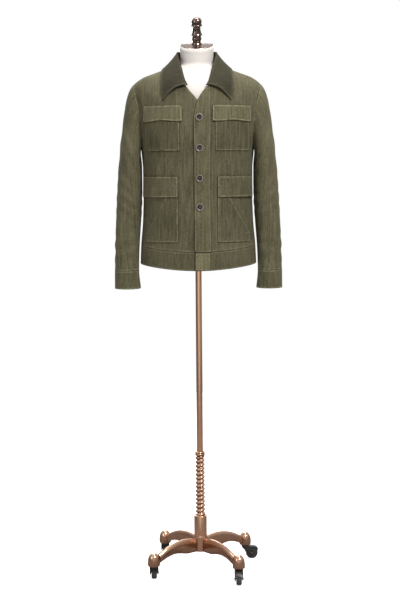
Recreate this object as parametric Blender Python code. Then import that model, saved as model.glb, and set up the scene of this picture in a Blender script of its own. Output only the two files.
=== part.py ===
"""A field jacket of olive needlecord on a limbless dress form, with a turned copper stand on four casters.

Metres, +Z up. The wearer faces -Y, so the wearer's left is at +X. The origin is the pole's axis at the floor.
A garment panel is a patch of one smooth torso surface, whose points are told by side, height and distance out.
"""

import math

import bmesh
import bpy
import numpy as np
from mathutils import Matrix, Vector

MM = 0.001

# ---------------------------------------------------------------- cloth sizes
CLOTH = 1.6 * MM  # wall of one needlecord layer
SEAM = 0.3 * MM  # gap between two pieces that are sewn together
LAYER = CLOTH + 0.7 * MM  # from the middle of one layer to the middle of the next
OVERLAP = CLOTH + 1.0 * MM  # the left front stands this much off the right one
HEM_FRONT = 975 * MM
HEM_RISE = 17 * MM  # the hem is this much higher at the sides
WAISTBAND = 57 * MM
CUFF = 57 * MM
FRONT_EDGE = -11 * MM  # the overlap's edge, wearer's left over right
STRIP_WIDTH = 49 * MM
UNDERLAP = 34 * MM  # the right front runs on to here below the left
SHOULDER_Z = 1545 * MM
ARMPIT_Z = 1347 * MM
NECK_POINT_Z = 1610 * MM
BACK_NECK_Z = 1608 * MM
BUTTON_X = 6 * MM
BUTTON_HEIGHTS = (1170 * MM, 1258 * MM, 1350 * MM, 1441 * MM)
BUTTON_RADIUS = 11.5 * MM

# Level cuts of the cloth's middle surface, in mm: height, half width, depth in front of the pole and behind it,
# and how square the ring is (2 is an ellipse, less is pinched at the side as on a shoulder).
TORSO = (
    # z, half_width, front, back, square
    (960, 181.5, 138, 126, 2.40),
    (1000, 181, 137, 125, 2.40),
    (1030, 179.8, 136, 124, 2.40),
    (1063, 177.6, 134, 122, 2.40),
    (1094, 174.6, 132, 120, 2.40),
    (1126, 171.8, 131, 119, 2.40),
    (1157, 170.2, 130, 118, 2.40),
    (1200, 169.6, 129, 118, 2.40),
    (1251, 169.4, 130, 119, 2.40),
    (1310, 170.0, 133, 122, 2.38),
    (1350, 172, 135, 124, 2.35),
    (1395, 180, 135, 125, 2.28),
    (1443, 190, 131, 123, 2.18),
    (1488, 199, 122, 116, 2.08),
    (1522, 205, 111, 107, 2.00),
    (1545, 198.5, 101, 100, 1.94),
    (1561, 180, 92, 93, 1.90),
    (1571, 162, 85, 88, 1.87),
    (1578, 143, 79, 83, 1.85),
    (1590, 110, 69, 74, 1.82),
    (1602, 80, 57, 63, 1.80),
    (1610, 66, 51, 57, 1.80),
    (1622, 56, 46, 52, 1.85),
)

# The armhole seam as seen from the front, in mm, from the armpit to the shoulder point.
ARMHOLE = (
    # z, x
    (1347, 171.8),
    (1362, 170.6),
    (1385, 170.4),
    (1418, 171.5),
    (1464, 177.0),
    (1495, 183.0),
    (1523, 189.0),
    (1537, 194.0),
    (1545, 198.5),
)

# Neckline of a front from the shoulder to where the front edge begins, in mm, as seen from the front.
NECKLINE = (
    # z, x
    (1610, 66.0),
    (1602, 63.0),
    (1588, 56.0),
    (1562, 45.0),
    (1539, 35.0),
)

# Sleeve cuts in mm: outer and inner point in the front view, half depth and how far forward the middle is.
SLEEVE = (
    # t, outer_x, outer_z, inner_x, inner_z, half_depth, forward
    (0.00, 198.5, 1545, 172.0, 1347, 50, 0),
    (0.03, 208.5, 1529, 174.6, 1342, 54, 0),
    (0.07, 218.0, 1502, 175.6, 1332, 59, 1),
    (0.13, 225.5, 1466, 175.6, 1318, 63, 2),
    (0.21, 232.5, 1415, 175.0, 1298, 66, 3),
    (0.32, 239.0, 1352, 174.6, 1269, 66, 6),
    (0.45, 246.2, 1275, 174.6, 1223, 64, 10),
    (0.60, 252.2, 1187, 176.4, 1165, 60, 15),
    (0.75, 256.6, 1107, 180.8, 1100, 56, 20),
    (0.88, 260.0, 1038, 185.2, 1036, 51, 25),
    (1.00, 261.2, 972, 186.8, 972, 47, 28),
    (1.25, 261.8, 915, 181.8, 915, 49, 30),
)

# Soft drag folds of the worn cloth: face (-1 front, 1 back), middle and half length in mm, turn in degrees from
# upright, half width and height in mm. The same fold is on both sides of the body.
FOLDS = (
    # face, x, z, half_length, turn, half_width, height
    (-1, 112, 1300, 70, 14, 28, 2.2),
    (-1, 62, 1290, 90, -10, 28, -1.6),
    (-1, 108, 1132, 90, 18, 34, 1.4),
    (-1, 146, 1406, 60, -14, 30, 1.2),
    (1, 62, 1200, 150, 3, 30, 4.0),
    (1, 122, 1230, 140, -6, 28, 3.4),
    (1, 150, 1376, 80, 14, 26, 2.4),
    (1, 0, 1150, 120, 0, 34, -2.4),
)

# Patch pockets and flaps in mm, one side, as seen from the front: edges nearest and farthest from the middle.
CHEST_POCKET = {"near": 53.5, "far": 156.0, "bottom": 1341, "top": 1466}
CHEST_FLAP = {"near": 45.5, "far": 160.5, "bottom": 1433, "top": 1478}
HIP_POCKET = {"near": 59.5, "far": 157.0, "bottom": 1062, "top": 1244}
HIP_FLAP = {"near": 60.0, "far": 164.0, "bottom": 1200, "top": 1264}
HIP_ENTRY = {"low": 1088, "high": 1198, "far": 157.0, "near": 99.0}  # the slanted hand opening
FLAP_LIFT = 1.2 * MM  # a flap hangs a little off its pocket at its lower edge

# Collar, in mm, from the middle of the back (0) to its front end (1): fold line and outer edge.
COLLAR = (
    # along, fold_x, fold_y, fold_z, edge_x, edge_z
    (0.000, 0, 62, 1650, 0, 1586),
    (0.167, 26, 57, 1650, 38, 1586),
    (0.333, 48, 38, 1649.5, 72, 1588),
    (0.417, 56.5, 22, 1649, 90, 1590.5),
    (0.500, 61, 3, 1647, 104, 1592.3),
    (0.583, 60, -18, 1639, 108, 1580),
    (0.667, 56, -40, 1625, 110, 1564),
    (0.800, 46, -75, 1589, 110, 1535),
    (0.910, 37, -99, 1557, 107, 1509),
    (1.000, 29, -113, 1541, 102, 1493),
)

# ---------------------------------------------------------------- form and stand sizes
FORM_BOTTOM = 1013 * MM
NECK_RADIUS = 49 * MM
NECK_TOP = 1664 * MM  # as the last row of FORM_NECK
CAP_TILT = math.radians(21)
CAP_THICKNESS = 7 * MM
POLE_RADIUS = 10 * MM
THREAD_TOP = 374 * MM
THREAD_BOTTOM = 136 * MM
THREAD_PITCH = 13.4 * MM
THREAD_ROOT = 10 * MM
THREAD_CREST = 15 * MM
HUB_TOP = 178 * MM
HUB_RADIUS = 20.5 * MM
HUB_FOOT_RADIUS = 22 * MM
LEG_FOOT = 62 * MM  # underside of the legs' webs at the hub
LEG_REACH = 188.8 * MM  # from the pole to a bell's axis
LEG_TURN = math.radians(-51.2)  # direction of the leg that stands front right
BELL_RADIUS = 19 * MM
BELL_BOTTOM = 47 * MM
BELL_TOP = 88 * MM
WHEEL_RADIUS = 20 * MM
WHEEL_WIDTH = 17 * MM
WHEEL_TRAIL = 22 * MM
FORK_WIDTH = 27 * MM
FORK_WALL = 3 * MM
AXLE_RADIUS = 3 * MM

# Leg cuts in mm, from the hub outwards.
LEG = (
    # r, bottom, top, width
    (22.4, 62, 104, 15),
    (40, 62, 108, 15),
    (62, 63, 110, 16),
    (84, 68, 109, 17),
    (108, 71, 105, 18),
    (132, 68, 98, 18),
    (152, 61, 89, 18),
    (169.2, 54, 80, 17),
)

# Form cuts in mm: height, how far inside the worn cloth it is in front and behind, and its greatest half width.
FORM_LEVELS = (
    # z, front_inset, back_inset, half_width
    (1013, 9.5, 9.5, 152),
    (1023, 9.5, 9.5, 152),
    (1080, 9.5, 9.5, 153),
    (1150, 9.5, 9.5, 154),
    (1220, 9.5, 9.5, 156),
    (1290, 9.5, 9.5, 157),
    (1350, 9.5, 9.5, 158),
    (1398, 9.5, 9.5, 162),
    (1440, 9.5, 9.5, 166),
    (1478, 9.0, 9.5, 171),
    (1507, 7.0, 9.5, 174),
    (1530, 5.4, 9.5, 175),
    (1548, 4.6, 9.3, 175),
    (1562, 5.0, 9.0, 172),
    (1573, 5.6, 8.0, 165),
    (1583, 5.2, 6.0, 165),
    (1592, 4.6, 5.3, 165),
)

# Neck of the form in mm: height, radius, and how much of the cap's slope the ring has.
FORM_NECK = (
    # z, radius, slope
    (1602, 56.0, 0.0),
    (1609, 52.0, 0.1),
    (1620, 50.0, 0.4),
    (1636, 49.2, 0.8),
    (1664, 49.0, 1.0),
)

# Turned finial in mm, up its own axis from the cap.
FINIAL = (
    # height, radius
    (0, 11.5),
    (4, 12.5),
    (10, 15),
    (17, 15.3),
    (27, 14.6),
    (30, 17.2),
    (32, 17.2),
    (35, 15.2),
    (41, 13.4),
    (50, 12.4),
    (56, 13.2),
    (58, 17),
    (61, 17),
    (63.5, 15.6),
    (69, 16.6),
    (75, 15.6),
    (81, 11.6),
    (84.5, 6),
    (85.7, 0),
)

# ---------------------------------------------------------------- scene and materials
for old in list(bpy.data.objects):
    bpy.data.objects.remove(old, do_unlink=True)

FINISHES = {
    # name: colour, roughness, metallic
    "needlecord": ((0.098, 0.088, 0.052, 1), 0.92, 0.0),
    "collar_cord": ((0.066, 0.058, 0.034, 1), 0.92, 0.0),
    "horn": ((0.030, 0.020, 0.014, 1), 0.25, 0.0),
    "cream_cover": ((0.80, 0.75, 0.70, 1), 0.85, 0.0),
    "copper": ((0.62, 0.33, 0.22, 1), 0.28, 1.0),
    "black_nylon": ((0.02, 0.02, 0.02, 1), 0.45, 0.0),
}


def make_finish(name):
    colour, roughness, metallic = FINISHES[name]
    finish = bpy.data.materials.new(name)
    finish.use_nodes = True
    shader = finish.node_tree.nodes["Principled BSDF"]
    shader.inputs["Base Color"].default_value = colour
    shader.inputs["Roughness"].default_value = roughness
    shader.inputs["Metallic"].default_value = metallic
    finish.diffuse_color = colour
    return finish


MATERIALS = {name: make_finish(name) for name in FINISHES}


def add_object(name, points, faces, finish, smooth_angle=40):
    """A new object from points and faces, turned to face outwards."""
    mesh = bpy.data.meshes.new(name)
    mesh.from_pydata([tuple(map(float, point)) for point in points], [], faces)
    work = bmesh.new()
    work.from_mesh(mesh)
    if work.calc_volume(signed=True) < 0:
        bmesh.ops.reverse_faces(work, faces=work.faces)
    work.to_mesh(mesh)
    work.free()
    mesh.shade_smooth()
    mesh.set_sharp_from_angle(angle=math.radians(smooth_angle))
    mesh.materials.append(MATERIALS[finish])
    piece = bpy.data.objects.new(name, mesh)
    bpy.context.collection.objects.link(piece)
    return piece


def put_origin(piece, point):
    """Moves an object's origin to a point of the scene, such as a joint's axis, and leaves its shape in place."""
    piece.data.transform(Matrix.Translation(-Vector(point)))
    piece.location = point


# ---------------------------------------------------------------- reading the tables
def smooth_table(table, column, at):
    """A column of a table at the values `at` of its first column, on a smooth curve through its rows."""
    rows = np.array(table, float)
    rows = rows[np.argsort(rows[:, 0])]
    knots = rows[:, 0]
    values = rows[:, column]
    slopes = np.gradient(values, knots)
    at = np.clip(np.asarray(at, float), knots[0], knots[-1])
    row = np.clip(np.searchsorted(knots, at, side="right") - 1, 0, len(knots) - 2)
    step = knots[row + 1] - knots[row]
    part = (at - knots[row]) / step
    flow = step * (slopes[row] * (1 - part) - slopes[row + 1] * part)
    blend = part * part * (3 - 2 * part)
    return values[row] * (1 - blend) + values[row + 1] * blend + part * (1 - part) * flow


def ease(low, high, value):
    """0 below low, 1 above high and a soft rise between."""
    part = np.clip((np.asarray(value, float) - low) / (high - low), 0, 1)
    return part * part * (3 - 2 * part)


# ---------------------------------------------------------------- torso surface
RING_STEPS = 96
RING_ANGLES = math.pi / 2 * ease(0, 1, np.linspace(0, 1, RING_STEPS + 1))


def ring_sizes(z, face):
    """Half width, depth on this face and squareness of the level cuts at z."""
    z_mm = np.asarray(z, float) / MM
    depth_column = 2 if face < 0 else 3
    half_width = smooth_table(TORSO, 1, z_mm) * MM
    depth = smooth_table(TORSO, depth_column, z_mm) * MM
    return half_width, depth, smooth_table(TORSO, 4, z_mm)


def quarter(z, face):
    """Points x and y of each quarter ring, from the middle of the face (0) to the side (1), and its arc length."""
    half_width, depth, square = ring_sizes(z, face)
    power = (2 / square)[..., None]
    x = half_width[..., None] * np.sin(RING_ANGLES) ** power
    y = face * depth[..., None] * np.clip(np.cos(RING_ANGLES), 0, 1) ** power
    steps = np.hypot(np.diff(x, axis=-1), np.diff(y, axis=-1))
    arc = np.concatenate([np.zeros(x.shape[:-1] + (1,)), np.cumsum(steps, axis=-1)], axis=-1)
    return x, y, arc


def bare_point(side, z, face):
    """The smooth torso at side (-1 to 1, a share of the quarter's arc, + is the wearer's left) and height z."""
    side, z = np.broadcast_arrays(np.asarray(side, float), np.asarray(z, float))
    x, y, arc = quarter(z.ravel(), face)
    want = np.abs(side.ravel()) * arc[:, -1]
    found = np.empty((len(want), 2))
    for row, length in enumerate(want):
        found[row, 0] = np.interp(length, arc[row], x[row])
        found[row, 1] = np.interp(length, arc[row], y[row])
    signed_x = found[:, 0] * np.sign(side.ravel())
    return np.stack([signed_x, found[:, 1], z.ravel()], axis=-1).reshape(side.shape + (3,))


def side_of(x, z, face=-1):
    """The share of the arc at which the front view shows the distance x (metres, signed)."""
    x, z = np.broadcast_arrays(np.asarray(x, float), np.asarray(z, float))
    ring_x, _, arc = quarter(z.ravel(), face)
    shares = [
        np.interp(abs(want), ring_x[row], arc[row] / arc[row, -1]) for row, want in enumerate(x.ravel())
    ]
    return (np.array(shares) * np.sign(x.ravel())).reshape(x.shape)


def fold_height(point, face):
    """How far the drag folds push the cloth out at these points of the bare torso."""
    out = np.zeros(point.shape[:-1])
    for fold_face, x, z, half_length, turn, half_width, height in FOLDS:
        if fold_face != face:
            continue
        angle = math.radians(turn)
        for mirror in (-1, 1):
            if x == 0 and mirror < 0:
                continue
            off_x = point[..., 0] / MM * mirror - x
            off_z = point[..., 2] / MM - z
            across = off_x * math.cos(angle) + off_z * math.sin(angle)
            along = off_z * math.cos(angle) - off_x * math.sin(angle)
            out += height * MM * np.exp(-((across / half_width) ** 2) - (along / half_length) ** 4)
    return out * ease(0, 60 * MM, SHOULDER_Z - point[..., 2])


def cloth_point(side, z, face, out=0.0):
    """A point of the worn cloth: on the torso with its folds, moved out square to the surface."""
    step_side = 0.01
    step_z = 1 * MM
    side, z = np.broadcast_arrays(np.asarray(side, float), np.asarray(z, float))
    base = bare_point(side, z, face)
    low_side = np.clip(side - step_side, -1, 1)
    high_side = np.clip(side + step_side, -1, 1)
    across = bare_point(high_side, z, face) - bare_point(low_side, z, face)
    upward = bare_point(side, z + step_z, face) - bare_point(side, z - step_z, face)
    normal = np.cross(across, upward)
    at_ridge = np.abs(side) > 1 - 1e-6
    normal[at_ridge, 1] = 0
    normal /= np.linalg.norm(normal, axis=-1, keepdims=True) + 1e-12
    outward = base * np.array([1, 1, 0])
    flip = np.sign(np.sum(normal * outward, axis=-1, keepdims=True) + 1e-15)
    reach = np.asarray(out, float) + fold_height(base, face)
    return base + normal * flip * reach[..., None]


# ---------------------------------------------------------------- walls from grids
def wall_faces(rows, columns, closed_around):
    """Faces of a wall whose inner and outer grids are stored one after the other, rows by columns."""
    size = rows * columns
    spans = columns if closed_around else columns - 1
    faces = []

    def index(layer, row, column):
        return layer * size + row * columns + column % columns

    for row in range(rows - 1):
        for column in range(spans):
            quad = [(row, column), (row, column + 1), (row + 1, column + 1), (row + 1, column)]
            faces.append([index(1, *corner) for corner in quad])
            faces.append([index(0, *corner) for corner in reversed(quad)])
    for row, turned in ((0, True), (rows - 1, False)):
        for column in range(spans):
            strip = [index(0, row, column), index(0, row, column + 1)]
            strip += [index(1, row, column + 1), index(1, row, column)]
            faces.append(strip if turned else strip[::-1])
    if not closed_around:
        for column, turned in ((0, False), (columns - 1, True)):
            for row in range(rows - 1):
                strip = [index(0, row, column), index(0, row + 1, column)]
                strip += [index(1, row + 1, column), index(1, row, column)]
                faces.append(strip[::-1] if not turned else strip)
    return faces


def wall(name, inner, outer, closed_around=False, finish="needlecord"):
    """A closed wall between two grids of points of the same shape (rows, columns, 3)."""
    rows, columns = inner.shape[:2]
    points = np.concatenate([inner.reshape(-1, 3), outer.reshape(-1, 3)])
    return add_object(name, points, wall_faces(rows, columns, closed_around), finish)


def grid_normals(grid, closed_around):
    """Unit normals of a grid of points, by differences along and around."""
    if closed_around:
        around = np.roll(grid, -1, axis=1) - np.roll(grid, 1, axis=1)
    else:
        around = np.gradient(grid, axis=1)
    normal = np.cross(around, np.gradient(grid, axis=0))
    return normal / (np.linalg.norm(normal, axis=-1, keepdims=True) + 1e-12)


def fill_between(left, right, columns):
    """Straight spans in (side, z) between two edges given row by row."""
    share = np.linspace(0, 1, columns)[None, :, None]
    return left[:, None, :] * (1 - share) + right[:, None, :] * share


def panel(name, left, right, columns, face, out=0.0, bulge=None, finish="needlecord", thickness=CLOTH):
    """A garment piece on the torso between two edges of (side, z); bulge(side, z) moves its middle out as well."""
    places = fill_between(left, right, columns)
    side = places[..., 0]
    z = places[..., 1]
    middle = out + (bulge(side, z) if bulge else 0)
    inner = cloth_point(side, z, face, middle - thickness / 2)
    outer = cloth_point(side, z, face, middle + thickness / 2)
    return wall(name, inner, outer, finish=finish)


# ---------------------------------------------------------------- edges of the body panels
BODY_LEVELS = 7
ARMHOLE_STEPS = 8
NECK_SHARE = 0.36  # share of the back's top row that is neckline
RIDGE = 0.9988  # the panels stop this far round, so front and back are a seam apart


def hem_z(side):
    """Height of the hem at this share of the arc."""
    return HEM_FRONT + HEM_RISE * np.sin(np.abs(side) * math.pi / 2) ** 2


def armhole_heights():
    """Heights of the armhole's points from the armpit to the shoulder."""
    turn = np.linspace(math.pi, 0, ARMHOLE_STEPS + 1)
    return (SHOULDER_Z + ARMPIT_Z) / 2 + (SHOULDER_Z - ARMPIT_Z) / 2 * np.cos(turn)


def armhole_sides(z, face):
    """Arc shares of the armhole seam at these heights."""
    x = smooth_table(ARMHOLE, 1, z / MM) * MM
    sides = side_of(x, z, face)
    sides[z <= ARMPIT_Z + 1e-9] = 1
    sides[z >= SHOULDER_Z - 1e-9] = 1
    return sides


def outer_edge(face, low):
    """Side seam, armhole and shoulder point of a body panel, as rows of (side, z) on the wearer's left."""
    seam_z = np.linspace(low, ARMPIT_Z, BODY_LEVELS + 1)[:-1]
    arm_z = armhole_heights()
    z = np.concatenate([seam_z, arm_z])
    side = np.concatenate([np.full(len(seam_z), RIDGE), armhole_sides(arm_z, face)])
    return np.stack([np.minimum(side, RIDGE), z], axis=-1)


def spread(points, count):
    """Count points evenly along a line of (side, z) points, with side weighed as about 0.27 m."""
    points = np.array(points, float)
    steps = np.hypot(np.diff(points[:, 0]) * 0.27, np.diff(points[:, 1]))
    along = np.concatenate([[0], np.cumsum(steps)])
    want = np.linspace(0, along[-1], count)
    return np.stack([np.interp(want, along, points[:, column]) for column in (0, 1)], axis=-1)


def front_neckline(count):
    """Neckline of a front from its front end up to the shoulder, as (side, z)."""
    z = np.linspace(NECKLINE[-1][0], NECKLINE[0][0], count) * MM
    x = smooth_table(NECKLINE, 1, z / MM) * MM
    side = side_of(x, z)
    side[-1] = RIDGE
    return np.stack([side, z], axis=-1)


def over_lift(side, z):
    """The left front rises by one layer where it laps over the right one."""
    x = bare_point(side, z, -1)[..., 0]
    return OVERLAP * (1 - ease(UNDERLAP + 8 * MM, UNDERLAP + 38 * MM, x))


def front_panel(name, edge_points, wearer_left):
    """A front from its waist seam to the shoulder; edge_points run up its front edge as (x, z) in metres."""
    edge = [(side_of(x, z), z) for x, z in edge_points]
    seam_low = hem_z(0) + WAISTBAND + SEAM
    side_low = hem_z(1) + WAISTBAND + SEAM
    neck = front_neckline(5)
    rows = BODY_LEVELS + ARMHOLE_STEPS + 1
    left = np.concatenate([spread(edge + [tuple(neck[0])], rows - 4), neck[1:]])
    left[0, 1] = seam_low
    right = outer_edge(-1, side_low)
    places = fill_between(left, right, 15)
    drop = np.linspace(1, 0, rows)[:, None] ** 3
    places[..., 1] += drop * (hem_z(places[..., 0]) + WAISTBAND + SEAM - places[0, :, 1][None, :])
    sign = 1 if wearer_left else -1
    side = places[..., 0] * sign
    z = places[..., 1]
    lift = over_lift(side, z) if wearer_left else 0
    inner = cloth_point(side, z, -1, lift - CLOTH / 2)
    outer = cloth_point(side, z, -1, lift + CLOTH / 2)
    return wall(name, inner, outer)


def left_front_edge(z_low):
    """Front edge of the wearer's left front, which rolls open above the top button."""
    roll = ((-11, 1413), (-10.5, 1437), (-8, 1456), (-3, 1481), (5, 1501), (17, 1520))
    return [(FRONT_EDGE, z_low)] + [(x * MM, z * MM) for x, z in roll]


def right_front_edge(z_low):
    """Front edge of the wearer's right front, hidden by the overlap up to the open neck."""
    roll = ((34, 1403), (30, 1434), (20, 1464), (8, 1487), (-8, 1506), (-22, 1522))
    return [(-UNDERLAP, z_low)] + [(-x * MM, z * MM) for x, z in roll]


def make_body():
    """Two fronts and the back, which end at the waistband below and at armholes, shoulders and neck above."""
    seam_low = HEM_FRONT + WAISTBAND + SEAM
    front_panel("front_left", left_front_edge(seam_low), True)
    front_panel("front_right", right_front_edge(seam_low), False)
    side_low = hem_z(1) + WAISTBAND + SEAM
    edge = outer_edge(1, side_low)
    rows = len(edge)
    share = np.linspace(-1, 1, 21)
    along = np.abs(share)[None, :]
    up = np.linspace(0, 1, rows)[:, None]
    # The top row is the back neckline in the middle and the shoulder seams on both sides of it.
    on_neck = np.minimum(along / NECK_SHARE, 1)
    on_shoulder = np.clip((along - NECK_SHARE) / (1 - NECK_SHARE), 0, 1)
    neck_z = BACK_NECK_Z + (NECK_POINT_Z - BACK_NECK_Z) * on_neck**2
    top_z = neck_z + (SHOULDER_Z - NECK_POINT_Z) * on_shoulder
    bottom_z = hem_z(along) + WAISTBAND + SEAM
    straight_z = (1 - up) * side_low + up * SHOULDER_Z
    side = up * on_neck * RIDGE + along * (edge[:, :1] - up * RIDGE)
    z = (1 - up) * bottom_z + up * top_z + along * (edge[:, 1:] - straight_z)
    side = side * np.sign(share)[None, :]
    inner = cloth_point(side, z, 1, -CLOTH / 2)
    outer = cloth_point(side, z, 1, CLOTH / 2)
    wall("back", inner, outer)


def make_waistband():
    """A straight band in three lengths below the body, open at the front."""
    def band(name, from_side, to_side, columns, face, lift=0.0):
        side = np.linspace(from_side, to_side, columns)
        low = np.stack([side, hem_z(side)], axis=-1)
        places = np.stack([low, low + [0, WAISTBAND / 2], low + [0, WAISTBAND]])
        raised = lift(places[..., 0], places[..., 1]) if callable(lift) else lift
        inner = cloth_point(places[..., 0], places[..., 1], face, raised - CLOTH / 2)
        outer = cloth_point(places[..., 0], places[..., 1], face, raised + CLOTH / 2)
        wall(name, inner, outer)

    overlap = float(side_of(FRONT_EDGE, HEM_FRONT))
    under = float(side_of(UNDERLAP, HEM_FRONT))
    band("waistband_front_left", overlap, RIDGE, 15, -1, over_lift)
    band("waistband_front_right", -RIDGE, under, 15, -1)
    band("waistband_back", -RIDGE, RIDGE, 21, 1)


def make_front_strip():
    """The buttoned strip down the left front's edge and its foot on the waistband."""
    low = HEM_FRONT + WAISTBAND + SEAM
    edge = left_front_edge(low)
    rows = 18
    left = spread([(float(side_of(x, z)), z) for x, z in edge], rows)
    near = np.full(rows, float(side_of(FRONT_EDGE + STRIP_WIDTH, 1.2)))
    right = np.stack([near, np.linspace(low, 1536 * MM, rows)], axis=-1)
    panel("front_strip", left, right, 4, -1, out=LAYER, bulge=over_lift)
    foot_low = HEM_FRONT + 1.5 * MM
    foot_high = HEM_FRONT + WAISTBAND - 1.5 * MM
    foot_z = np.linspace(foot_low, foot_high, 3)
    foot_left = np.stack([side_of(np.full(3, FRONT_EDGE + 3 * MM), foot_z), foot_z], axis=-1)
    foot_right = np.stack([side_of(np.full(3, FRONT_EDGE + STRIP_WIDTH - 2 * MM), foot_z), foot_z], axis=-1)
    panel("front_strip_foot", foot_left, foot_right, 4, -1, out=LAYER, bulge=over_lift)


def make_pockets():
    """Four patch pockets and their flaps, mirrored about the middle."""
    for word, sign in (("right", -1), ("left", 1)):

        def edges(near, far, z):
            near_side = side_of(np.full(len(z), near * MM), z)
            far_side = side_of(np.ones(len(z)) * far * MM, z)
            return (
                np.stack([near_side * sign, z], axis=-1),
                np.stack([far_side * sign, z], axis=-1),
            )

        level = np.linspace(CHEST_POCKET["bottom"], CHEST_POCKET["top"], 7) * MM
        near, far = edges(CHEST_POCKET["near"], CHEST_POCKET["far"], level)
        lift = over_lift if sign > 0 else None
        panel(f"chest_pocket_{word}", near, far, 9, -1, out=LAYER, bulge=lift)

        level = np.linspace(HIP_POCKET["bottom"], HIP_POCKET["top"], 10) * MM
        reach = np.interp(
            level / MM, [HIP_ENTRY["low"], HIP_ENTRY["high"]], [HIP_ENTRY["far"], HIP_ENTRY["near"]]
        )
        near, far = edges(HIP_POCKET["near"], reach, level)
        far[0, 1] += 4 * MM
        panel(f"hip_pocket_{word}", near, far, 11, -1, out=LAYER, bulge=lift)

        for name, sizes, waves in (("chest_flap", CHEST_FLAP, 1), ("hip_flap", HIP_FLAP, 0)):
            rows = 5
            columns = 11
            level = np.linspace(sizes["bottom"], sizes["top"], rows) * MM
            near, far = edges(sizes["near"], sizes["far"], level)
            places = fill_between(near, far, columns)
            share = np.linspace(-1, 1, columns)
            droop = waves * 6 * MM * (1 - np.cos(share * math.pi * 0.95)) / 2 * (1 - 0.55 * share**2)
            places[..., 1] -= np.linspace(1, 0, rows)[:, None] * droop[None, :]
            down = np.linspace(1, 0, rows)[:, None]
            middle = 2 * LAYER + down * FLAP_LIFT + np.zeros_like(places[..., 0])
            if lift:
                middle = middle + lift(places[..., 0], places[..., 1])
            inner = cloth_point(places[..., 0], places[..., 1], -1, middle - CLOTH / 2)
            outer = cloth_point(places[..., 0], places[..., 1], -1, middle + CLOTH / 2)
            wall(f"{name}_{word}", inner, outer)


# ---------------------------------------------------------------- sleeves
SLEEVE_AROUND = 2 * ARMHOLE_STEPS
SLEEVE_ROWS = 17
SLEEVE_HEAD = (0, 0.02, 0.045, 0.075, 0.13, 0.20)  # shares of the length at the rings of the sleeve's head
ARMHOLE_STANDOFF = 1.6 * MM  # from the panels' armhole to the sleeve's first ring, in front
BACK_STANDOFF = 2.6 * MM  # the same behind, where the armhole is rounder
ARMPIT_STANDOFF = 3.8 * MM
SEAM_RISE = 0.35  # how far the sleeve's top leans up off the shoulder point


def sleeve_ellipse(share, angles):
    """Rings of the hanging sleeve at these shares of its length: angle 0 is the outside, -90 degrees the front."""
    none = np.zeros_like(share)
    outer = np.stack([smooth_table(SLEEVE, 1, share), none, smooth_table(SLEEVE, 2, share)], -1)
    inner = np.stack([smooth_table(SLEEVE, 3, share), none, smooth_table(SLEEVE, 4, share)], -1)
    forward = smooth_table(SLEEVE, 6, share)
    centre = (outer + inner) / 2
    centre[:, 1] -= forward
    across = (outer - inner) / 2
    depth = smooth_table(SLEEVE, 5, share)
    ring = centre[:, None, :] + across[:, None, :] * np.cos(angles)[None, :, None]
    ring[..., 1] += depth[:, None] * np.sin(angles)[None, :]
    return ring * MM


def armhole_loop(angles):
    """Points of the armhole seam on the wearer's left, with the direction off the panel into the hole."""
    heights = (SHOULDER_Z + ARMPIT_Z) / 2 + (SHOULDER_Z - ARMPIT_Z) / 2 * np.cos(angles)
    points = np.empty((len(angles), 3))
    off = np.zeros((len(angles), 3))
    for number, (angle, z) in enumerate(zip(angles, heights)):
        face = -1 if math.sin(angle) < 0 else 1
        side = float(armhole_sides(np.array([z]), face)[0])
        points[number] = cloth_point(min(side, RIDGE), z, face)
        further = cloth_point(min(side + 0.03, 1.0), z, face) - cloth_point(side - 0.03, z, face)
        weight = abs(math.sin(angle))
        unit = further / np.linalg.norm(further)
        off[number] = unit * weight + np.array([1 - weight, 0, 0])
        off[number, 2] += SEAM_RISE * (1 - weight)
    off /= np.linalg.norm(off, axis=-1, keepdims=True)
    return points, off


def sleeve_wrinkles(share, angles):
    """Soft rolls: one long crease down the outside and short ones in the bend of the elbow."""
    along = share[:, None]
    turn = angles[None, :]
    front = np.exp(-(((turn + 0.9) / 0.35) ** 2))
    crease = 1.8 * front * ease(0.12, 0.3, along) * (1 - ease(0.85, 1.0, along))
    inside = np.clip(-np.cos(turn), 0, 1) * 0.5 + 0.5 * np.clip(-np.sin(turn), 0, 1)
    elbow = 1.5 * np.cos((along - 0.56) * 75) * np.exp(-(((along - 0.56) / 0.10) ** 2)) * inside
    return (crease + elbow) * MM


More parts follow.
